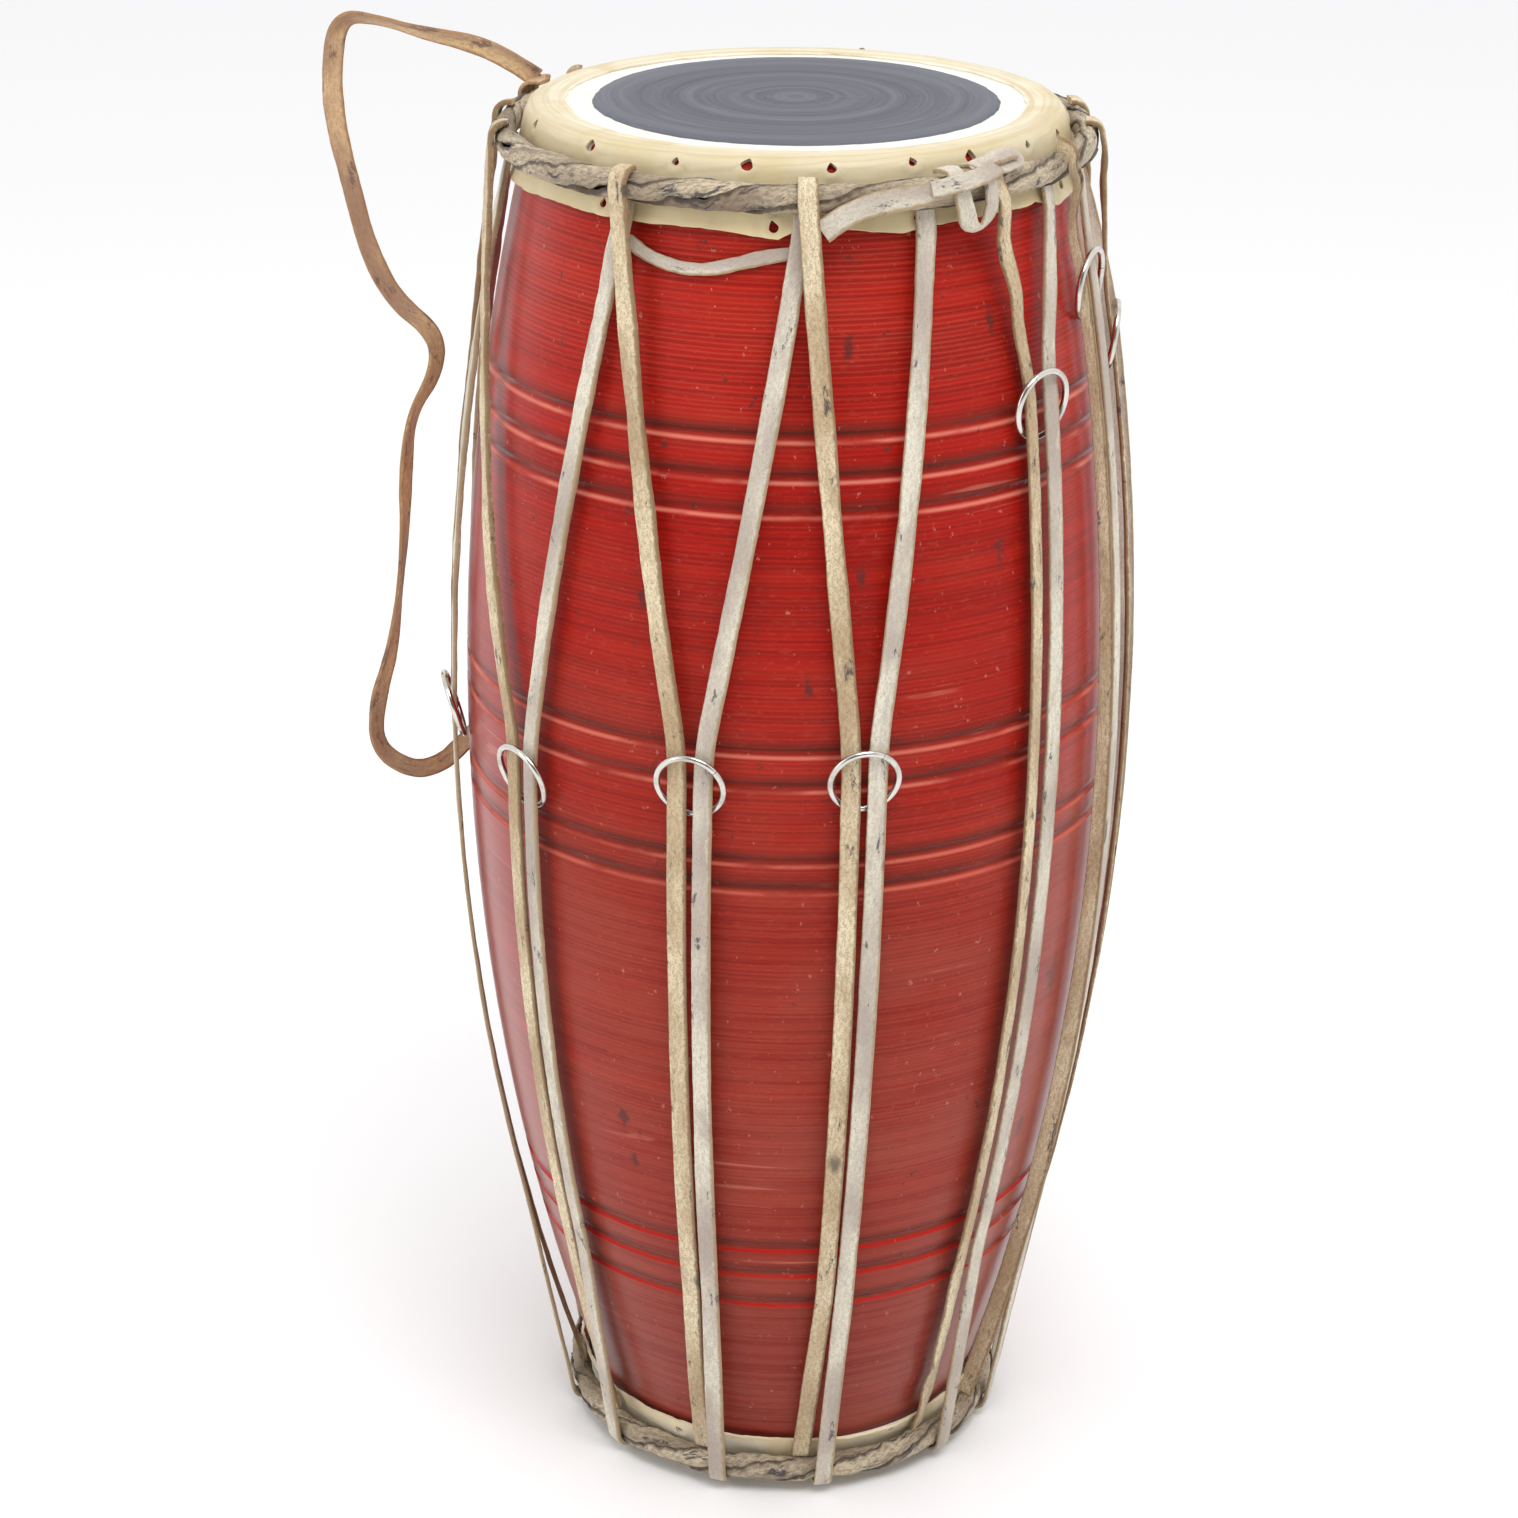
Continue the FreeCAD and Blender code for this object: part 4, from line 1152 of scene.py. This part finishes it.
def height_marks(finish, height, below, peak, above):
    """Bright near the grooves, dark elsewhere. Each group of grooves has its own ramp."""
    marks = 0.0
    for low, high, heights in groove_groups:
        window = finish.window(height, low, high)
        stops = []
        for groove in sorted(heights):
            for offset, level in ((-below, 0.0), (peak, 1.0), (above, 0.0)):
                stops.append((((groove + offset) * MM - low) / (high - low), level))
        marks = finish.sum("ADD", finish.steps(window, *stops, smooth=False), marks)
    return marks


def smudge_at(finish, spot, colour, dark, degrees, high, reach, tall, ragged, off=0.0):
    """The colour with a ragged dark stain at one place on the side. tall squeezes it to a standing oval."""
    radius = side_radius(high * MM) + off
    angle = math.radians(degrees)
    middle = (radius * math.sin(angle), -radius * math.cos(angle), high * MM)
    gap = finish.add("VectorMath", {0: spot, 1: middle}, operation="SUBTRACT").outputs[0]
    gap = finish.add("VectorMath", {0: gap, 1: (1.0, 1.0, tall)}, operation="MULTIPLY").outputs[0]
    far = finish.add("VectorMath", {0: gap}, operation="LENGTH").outputs["Value"]
    worn = finish.sum("MULTIPLY_ADD", far, 1 / (reach * MM), finish.sum("MULTIPLY_ADD", ragged, 3.6, -1.7))
    return finish.mix(finish.steps(worn, (0.15, 0.70), (0.90, 0.0)), colour, dark)


lacquer = Finish("red_lacquered_wood")
spot = lacquer.add("TexCoord").outputs["Object"]
parts = lacquer.add("SeparateXYZ", {"Vector": spot})
height = lacquer.sum("MULTIPLY", parts.outputs["Z"], 1 / 0.48)
lines = lacquer.noise(lacquer.place((6, 6, 620)), 1.0, 3.0, 0.6, 0.15)
bands = lacquer.noise(lacquer.place((4, 4, 90)), 1.0, 3.0, 0.5, 0.3)
cloud = lacquer.noise(lacquer.place((1, 1, 1)), 14.0, 5.0, 0.6)
wander = lacquer.sum("MULTIPLY_ADD", cloud, 0.24, -0.12)
level = lacquer.sum("ADD", height, wander)
body = lacquer.steps(level, (0.10, shade(140, 56, 43)), (0.34, shade(150, 50, 36)),
                     (0.50, shade(150, 40, 26)), (0.60, shade(160, 26, 13)),
                     (0.76, shade(164, 17, 5)), (0.96, shade(170, 26, 14)))
dust = lacquer.noise(lacquer.place((1, 1, 2.5)), 9.0, 6.0, 0.65)
lathe = lacquer.add("TexWave", {"Vector": lacquer.place((0.05, 0.05, 1)), "Scale": 203.0,
                                "Distortion": 5.0, "Detail": 3.0, "Detail Scale": 0.6},
                    wave_type="BANDS", bands_direction="Z").outputs["Fac"]
ridged = lacquer.steps(height, (0.10, 0.16), (0.45, 0.22), (0.80, 0.24), (0.92, 0.62))
fine_lines = lacquer.sum("MULTIPLY", lacquer.steps(lathe, (0.45, 0.0), (0.95, 0.60)),
                         lacquer.steps(dust, (0.36, 0.35), (0.6, 1.0)))
fine_lines = lacquer.sum("MULTIPLY", fine_lines, ridged)
body = lacquer.tint(body, lines, (0.42, 0.5), (0.55, 0.0), (122, 16, 9))
body = lacquer.mix(fine_lines, body, shade(206, 84, 62))
body = lacquer.tint(body, bands, (0.54, 0.0), (0.74, 0.22), (186, 50, 32))
weave = lacquer.noise(lacquer.place((300, 300, 900)), 1.0, 2.0, 0.6)
body = lacquer.tint(body, weave, (0.55, 0.0), (0.72, 0.22), (190, 74, 56))
dusty = lacquer.sum("MULTIPLY", lacquer.steps(dust, (0.40, 0.0), (0.72, 0.55)),
                    lacquer.steps(height, (0.2, 1.0), (0.75, 0.25)))
body = lacquer.mix(dusty, body, shade(158, 84, 70))
# A dark band over and above each groove: partly dirt, partly painted shade.
groove_shade_and_dirt = height_marks(lacquer, parts.outputs["Z"], 1.0, 1.4, 5.0)
groove_shade_and_dirt_patches = lacquer.noise(lacquer.place((1, 1, 3)), 26.0)
groove_shade_and_dirt = lacquer.sum("MULTIPLY", groove_shade_and_dirt, lacquer.steps(groove_shade_and_dirt_patches, (0.3, 0.45), (0.6, 0.95)))
body = lacquer.mix(groove_shade_and_dirt, body, shade(88, 36, 27))
# A bright line just below each groove: a painted highlight on the lip, partly rubbed lacquer.
lip_highlights = height_marks(lacquer, parts.outputs["Z"], 2.4, -1.6, -0.7)
lip_highlight_patches = lacquer.noise(lacquer.place((1, 1, 4)), 22.0)
lip_highlights = lacquer.sum("MULTIPLY", lip_highlights, lacquer.steps(lip_highlight_patches, (0.38, 0.15), (0.52, 0.95)))
lip_highlight_colour = lacquer.steps(height, (0.26, shade(200, 16, 6)), (0.4, shade(204, 96, 78)),
                           (0.8, shade(224, 128, 108)))
body = lacquer.mix(lip_highlights, body, lip_highlight_colour)
chips = lacquer.steps(lacquer.noise(lacquer.place((1, 1, 1.3)), 130.0, 4.0, 0.75), (0.655, 0.0), (0.70, 0.9))
body = lacquer.mix(chips, body, shade(84, 50, 42))
chalk = lacquer.steps(lacquer.noise(lacquer.place((1.2, 1.2, 1)), 260.0, 3.0, 0.7), (0.66, 0.0), (0.72, 0.6))
body = lacquer.mix(chalk, body, shade(196, 118, 104))
scratch = lacquer.noise(lacquer.place((14, 14, 260)), 1.0, 2.0, 0.4, 0.6)
scratch = lacquer.steps(scratch, (0.69, 0.0), (0.73, 0.5))
scratch = lacquer.sum("MULTIPLY", scratch, lacquer.steps(cloud, (0.50, 0.0), (0.62, 1.0)))
body = lacquer.mix(scratch, body, shade(196, 112, 96))
grit = lacquer.noise(lacquer.place((1, 1, 0.8)), 420.0, 4.0, 0.7)
# Dark smudges where hands and ropes have bruised the lacquer: angle, height and reach of each.
smudges = ((-31.8, 156.3, 3.4), (-30.3, 139.4, 2.4), (-66.1, 104.5, 5.2), (54.4, 138.6, 3.6),
           (10.1, 423.3, 2.8), (38.9, 428.5, 3.2), (12.0, 355.2, 2.6), (3.1, 319.1, 2.2),
           (56.9, 196.8, 5.2), (37.9, 356.6, 3.2), (-25.5, 343.6, 2.2), (140.0, 300.0, 4.0),
           (-155.0, 210.0, 4.5), (180.0, 360.0, 3.0))
for degrees, high, reach in smudges:
    body = smudge_at(lacquer, spot, body, shade(72, 44, 42), degrees, high, reach, 0.5, grit)
sideways = lacquer.add("LayerWeight", {"Blend": 0.5}).outputs["Facing"]
dulled = lacquer.sum("MULTIPLY", groove_shade_and_dirt, 0.2)
lacquer.join(lacquer.shader, {
    "Base Color": body,
    "Roughness": lacquer.sum("ADD", lacquer.steps(dust, (0.3, 0.42), (0.8, 0.66)), dulled),
    "Coat Weight": lacquer.steps(sideways, (0.25, 0.0), (0.80, 1.0)),
    "Coat Roughness": 0.3, "Specular IOR Level": 0.14,
    "Normal": lacquer.relief(lacquer.mix(0.4, lines, lathe), 0.12 * MM, 0.5,
                             lacquer.relief(chips, -0.15 * MM, 0.6)),
})
lacquer.show_on(frame["nodes"]["barrel_shell"])
print("lacquer nodes", len(lacquer.tree.nodes))

# %% [markdown]
# ### Skins, collar and paste
#
# Goat skin is white where it is thick and clean. The collar is creamier, with brown shading where
# hands and the hoop rub it, and faint rings from scraping. The paste is slate grey with fine rings
# that are not quite round, so the distance from the middle is pushed about a little before it
# drives the noise.

# %% Rings round the middle
def round_rings(finish, scale, push=0.004, place_scale=6.0):
    """Noise that runs in slightly uneven rings round the drum's axis."""
    spot = finish.add("TexCoord").outputs["Object"]
    flat = finish.add("VectorMath", {0: spot, 1: (1, 1, 0)}, operation="MULTIPLY").outputs[0]
    far = finish.add("VectorMath", {0: flat}, operation="LENGTH").outputs["Value"]
    drift = finish.noise(finish.place((1, 1, 0.2)), place_scale, 2.0)
    far = finish.sum("ADD", far, finish.sum("MULTIPLY", drift, push))
    apart = finish.add("CombineXYZ", {"X": far})
    slow = finish.add("VectorMath", {0: flat, 1: (0.03, 0.03, 0)}, operation="MULTIPLY").outputs[0]
    both = finish.add("VectorMath", {0: apart.outputs[0], 1: slow}, operation="ADD").outputs[0]
    return finish.noise(both, scale, 4.0, 0.65), far


# %% White skin
skin = Finish("white_head_skin")
rings, _ = round_rings(skin, 500)
mottle = skin.noise(skin.place((1, 1, 1)), 60.0, 5.0)
tone = skin.tint(shade(243, 241, 234), mottle, (0.35, 0.0), (0.75, 0.5), (228, 222, 206))
tone = skin.tint(tone, rings, (0.4, 0.25), (0.6, 0.0), (220, 212, 194))
skin.join(skin.shader, {"Base Color": tone, "Roughness": 0.52,
                        "Subsurface Weight": 0.08, "Subsurface Scale": 0.002,
                        "Normal": skin.relief(rings, 0.05 * MM, 0.5)})
skin.show_on(top_skin, low_skin)

# %% Cream collar
cream = Finish("cream_collar_skin")
rings, far = round_rings(cream, 420)
spot = cream.add("TexCoord").outputs["Object"]
high = cream.add("SeparateXYZ", {"Vector": spot}).outputs["Z"]
mottle = cream.noise(cream.place((1, 1, 1)), 45.0, 6.0, 0.6)
blot = cream.noise(cream.place((1, 1, 1.4)), 16.0, 5.0, 0.6)
# The ramp spans only the collar's own 20 mm.
outwards = cream.window(far, 0.072, 0.092)
tone = cream.steps(outwards, (0.06, shade(240, 237, 228)), (0.20, shade(234, 226, 206)),
                   (0.27, shade(216, 200, 168)), (0.34, shade(226, 216, 189)), (0.66, shade(212, 199, 165)))
tone = cream.tint(tone, mottle, (0.42, 0.0), (0.66, 0.65), (204, 184, 140))
tone = cream.tint(tone, rings, (0.40, 0.55), (0.54, 0.0), (196, 174, 132))
# Below the shoulder the collar is yellower, and stained in places.
height = cream.sum("MULTIPLY", high, 1 / 0.48)
low_down = cream.steps(height, (0.036, 0.55), (0.060, 0.9), (0.10, 0.0), (0.95, 0.9),
                       (0.965, 0.6), (0.985, 0.0))
yellowed = cream.sum("MULTIPLY", low_down, cream.steps(blot, (0.30, 0.35), (0.62, 1.0)))
tone = cream.mix(yellowed, tone, shade(232, 212, 164))
stains = cream.steps(cream.noise(cream.place((1, 1, 1)), 38.0, 6.0, 0.7), (0.60, 0.0), (0.72, 0.75))
stains = cream.sum("MULTIPLY", stains, cream.steps(height, (0.10, 1.0), (0.12, 0.0), (0.975, 0.9),
                                                   (0.992, 0.05)))
tone = cream.mix(stains, tone, shade(128, 108, 84))
cream.join(cream.shader, {"Base Color": tone, "Roughness": cream.steps(mottle, (0.3, 0.42), (0.7, 0.60)),
                          "Subsurface Weight": 0.10, "Subsurface Scale": 0.002,
                          "Coat Weight": 0.12, "Coat Roughness": 0.4,
                          "Normal": cream.relief(rings, 0.06 * MM, 0.5,
                                                 cream.relief(mottle, 0.25 * MM, 0.5))})
cream.show_on(top_collar, low_collar)

# %% Tuning paste
slate = Finish("tuning_paste")
rings, far = round_rings(slate, 560, 0.010, 9.0)
broad_rings, _ = round_rings(slate, 140, 0.014, 7.0)
grain = slate.noise(slate.place((1, 1, 1)), 900.0, 3.0, 0.7)
tone = slate.tint(shade(78, 79, 87), broad_rings, (0.38, 0.0), (0.66, 1.0), (100, 101, 110))
tone = slate.tint(tone, rings, (0.56, 0.0), (0.70, 0.55), (128, 129, 136))
tone = slate.tint(tone, rings, (0.30, 0.55), (0.44, 0.0), (60, 61, 70))
tone = slate.tint(tone, grain, (0.62, 0.0), (0.75, 0.35), (150, 150, 156))
rim_dust = slate.steps(slate.sum("MULTIPLY", far, 10.0), (0.60, 0.0), (0.668, 0.35))
tone = slate.mix(rim_dust, tone, shade(120, 122, 132))
slate.join(slate.shader, {"Base Color": tone, "Roughness": slate.steps(rings, (0.3, 0.50), (0.7, 0.66)),
                          "Specular IOR Level": 0.3,
                          "Normal": slate.relief(slate.mix(0.4, rings, broad_rings), 0.16 * MM, 0.6,
                                                 slate.relief(grain, 0.05 * MM, 0.4))})
slate.show_on(top_paste, low_paste)
print("head finishes", skin.material.name, cream.material.name, slate.material.name)

# %% [markdown]
# ### Hide and leather strips
#
# All strips share one recipe with other numbers: a body colour that wanders along the length, fine
# fibres stretched along it, a speckle, darker edges that are partly the cut hide's own colour and
# partly painted shade along the rolled edges and between a hoop's ribbons, and a few dark stains.
# Hide has no gloss to speak of, so a little sheen is enough.

# %% Recipe for strips
def strip_finish(name, light, dark, speckle, stain, edge_colour_and_shade, half, fibre=0.4, speckled=0.5,
                 stained=0.66, rough=0.66, clouds=(34, 90), creases=0.35, stains=()):
    """Screen colours, half the strip's width, strengths, and stains as angle, height and reach."""
    hide = Finish(name)
    place = hide.place((1, 1, 1), "along_strip")
    parts = hide.add("SeparateXYZ", {"Vector": place})
    fibres = hide.noise(hide.place((420, 900, 1), "along_strip"), 1.0, 4.0, 0.65, 0.4)
    cloth = hide.noise(hide.place((*clouds, 1), "along_strip"), 1.0, 5.0, 0.65)
    lengths = hide.noise(hide.place((11, 20, 1), "along_strip"), 1.0, 3.0, 0.6)
    fine = hide.noise(place, 1500.0, 3.0, 0.75)
    tone = hide.tint(shade(*light), lengths, (0.40, 0.0), (0.62, 1.0), dark)
    tone = hide.tint(tone, cloth, (0.46, 0.0), (0.66, 0.75), dark)
    tone = hide.tint(tone, cloth, (0.30, 0.7), (0.44, 0.0), light)
    tone = hide.tint(tone, fibres, (0.42, fibre), (0.56, 0.0), speckle)
    tone = hide.tint(tone, fine, (0.52, 0.0), (0.64, speckled), speckle)
    # Darker edges: partly the cut hide's own colour, partly painted shade along the rolled edges and, on the
    # hoops, in the crevices where one ribbon tucks under the next.
    away = hide.sum("DIVIDE", hide.sum("ABSOLUTE", parts.outputs["Y"], 0.0), half)
    ragged = hide.sum("ADD", away, hide.sum("MULTIPLY_ADD", hide.noise(place, 420.0, 3.0), 0.5, -0.25))
    tone = hide.tint(tone, ragged, (0.72, 0.0), (1.02, 0.85), edge_colour_and_shade)
    dark_spots = hide.noise(hide.place((70, 170, 1), "along_strip"), 1.0, 6.0, 0.75, 0.3)
    tone = hide.tint(tone, dark_spots, (stained - 0.07, 0.0), (stained, 0.85), stain)
    spot = hide.add("TexCoord").outputs["Object"]
    for degrees, high, reach in stains:
        tone = smudge_at(hide, spot, tone, shade(*stain), degrees, high, reach, 0.6, cloth, 4.5 * MM)
    creased = hide.relief(cloth, creases * MM, 0.4)
    hide.join(hide.shader, {"Base Color": tone,
                            "Roughness": hide.steps(fibres, (0.3, rough - 0.08), (0.7, rough + 0.1)),
                            "Specular IOR Level": 0.25, "Sheen Weight": 0.08, "Sheen Roughness": 0.5,
                            "Normal": hide.relief(fibres, 0.10 * MM, 0.5,
                                                  hide.relief(fine, 0.08 * MM, 0.6, creased))})
    return hide


olive = strip_finish("speckled_thong", light=(232, 216, 182), dark=(188, 162, 128),
                     speckle=(136, 114, 86), stain=(66, 60, 60), edge_colour_and_shade=(132, 104, 70),
                     half=3.3 * MM, fibre=0.35, speckled=0.65, stained=0.65,
                     stains=((-16.7, 96.0, 4.0), (-24.5, 400.0, 3.0), (6.5, 318.0, 3.2),
                             (-52.0, 130.0, 3.0), (9.0, 150.0, 3.0)))
pale = strip_finish("pale_thong", light=(226, 219, 200), dark=(180, 166, 154),
                    speckle=(152, 138, 124), stain=(66, 64, 72), edge_colour_and_shade=(162, 136, 98),
                    half=3.3 * MM, fibre=0.25, speckled=0.5, stained=0.66, rough=0.6,
                    stains=((-17.4, 50.0, 5.0), (50.9, 35.0, 3.4), (-16.0, 300.0, 3.0),
                            (16.0, 262.0, 3.0), (-43.0, 96.0, 3.0)))
# The braid's very dark edges are painted shade in the crevices between its ribbons, partly the hide's own
# colour.
grey = strip_finish("grey_hide_braid", light=(206, 190, 162), dark=(142, 124, 104),
                    speckle=(98, 84, 72), stain=(44, 44, 56), edge_colour_and_shade=(62, 50, 40),
                    half=5.5 * MM, fibre=0.5, speckled=0.25, stained=0.62, rough=0.62,
                    clouds=(9, 190), creases=0.12)
tan = strip_finish("tan_strap_leather", light=(226, 192, 146), dark=(168, 136, 112),
                   speckle=(138, 104, 78), stain=(118, 92, 82), edge_colour_and_shade=(156, 116, 76),
                   half=3.6 * MM, fibre=0.3, speckled=0.35, stained=0.62, rough=0.58,
                   clouds=(26, 120))
for (hand, number), run in runs.items():
    (olive if hand == "left" else pale).show_on(run)
pale.show_on(end_band, knot, tail)
grey.show_on(*ribbons)
tan.show_on(strap, top_tie, side_tie)

# %% [markdown]
# ### Steel
#
# The rings are plated wire: bright, lightly rubbed, and a little brown in small specks.

# %% Ring steel
steel = Finish("ring_steel")
rub = steel.noise(steel.place((1, 1, 1)), 700.0, 4.0, 0.7)
haze = steel.noise(steel.place((1, 1, 1)), 160.0, 5.0, 0.6)
tone = steel.tint(shade(214, 211, 204), haze, (0.45, 0.0), (0.72, 0.6), (160, 152, 140))
tone = steel.tint(tone, rub, (0.66, 0.0), (0.76, 0.6), (116, 98, 78))
steel.join(steel.shader, {"Base Color": tone, "Metallic": 1.0,
                          "Roughness": steel.steps(haze, (0.3, 0.10), (0.7, 0.26)),
                          "Normal": steel.relief(rub, 0.03 * MM, 0.5)})
steel.show_on(*[o for o in bpy.data.objects if o.name.startswith("steel_ring_")])
print("finishes", len([m for m in bpy.data.materials if m.use_nodes]))

# %% [markdown]
# ## Floor and light
#
# The drum stands on a plain pale floor that runs out of sight, so it is made very large. The light
# is soft and even, as in a studio with white walls: a bright surround, a large softbox above the
# camera, and a weaker one from the left. A surround alone would leave the drum without shape. The
# surround is darker in front of the drum, as the unlit part of a studio is, so that the lacquer
# stays deep in the middle and goes milky only at its sides, and the steel shows a dark line beside a
# bright one.

# %% Floor
bpy.ops.mesh.primitive_plane_add(size=120, location=(0, 0, 0))
floor = bpy.context.object
floor.name = "studio_floor"
floor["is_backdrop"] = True
ground = Finish("studio_floor")
ground.join(ground.shader, {"Base Color": (0.97, 0.97, 0.98, 1), "Roughness": 0.9, "Specular IOR Level": 0.1})
ground.show_on(floor)

# %% Light
bright, dark = 1.08, 0.16
bright_up_to, dark_from = 0.62, 0.94
dark_side = (0.0, -0.90, 0.43)
world = bpy.data.worlds.new("studio_surround")
bpy.context.scene.world = world
world.use_nodes = True
sky = world.node_tree
toward = sky.nodes.new("ShaderNodeVectorMath")
toward.operation = "DOT_PRODUCT"
toward.inputs[1].default_value = dark_side
sky.links.new(sky.nodes.new("ShaderNodeTexCoord").outputs["Generated"], toward.inputs[0])
room = sky.nodes.new("ShaderNodeValToRGB")
stops = ((bright_up_to, bright), (dark_from, dark))
for element, (position, grey_level) in zip(room.color_ramp.elements, stops):
    element.position = position
    element.color = (grey_level, grey_level, grey_level, 1)
sky.links.new(toward.outputs["Value"], room.inputs["Fac"])
# The camera sees plain white, and only the drum sees the dark side.
seen = sky.nodes.new("ShaderNodeMix")
seen.data_type = "RGBA"
seen.inputs[7].default_value = (1.0, 1.0, 1.0, 1)
sky.links.new(sky.nodes.new("ShaderNodeLightPath").outputs["Is Camera Ray"], seen.inputs[0])
sky.links.new(room.outputs["Color"], seen.inputs[6])
sky.links.new(seen.outputs[2], sky.nodes["Background"].inputs["Color"])
sky.nodes["Background"].inputs["Strength"].default_value = 1.0
bpy.context.scene.view_settings.view_transform = "Standard"


def softbox(name, place, aim, size, power):
    light = bpy.data.lights.new(name, "AREA")
    light.shape = "RECTANGLE"
    light.size, light.size_y = size
    light.energy = power
    box = bpy.data.objects.new(name, light)
    bpy.context.scene.collection.objects.link(box)
    box.location = place
    box.rotation_euler = (Vector(aim) - Vector(place)).to_track_quat("-Z", "Y").to_euler()


softbox("softbox_above", (0.3, -0.9, 1.9), (0, 0, 0.25), (1.1, 0.8), 17)
softbox("softbox_left", (-1.5, -1.0, 0.9), (0, 0, 0.25), (0.9, 1.2), 5)

# %% [markdown]
# ## Size of the visual model
#
# The box round the visual model is printed, in mm. The visual model may not be larger
# than the measured one.

# %% Size and finish
low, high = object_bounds()
print("visual box, mm", [round(v / MM, 1) for v in (*low, *high)])
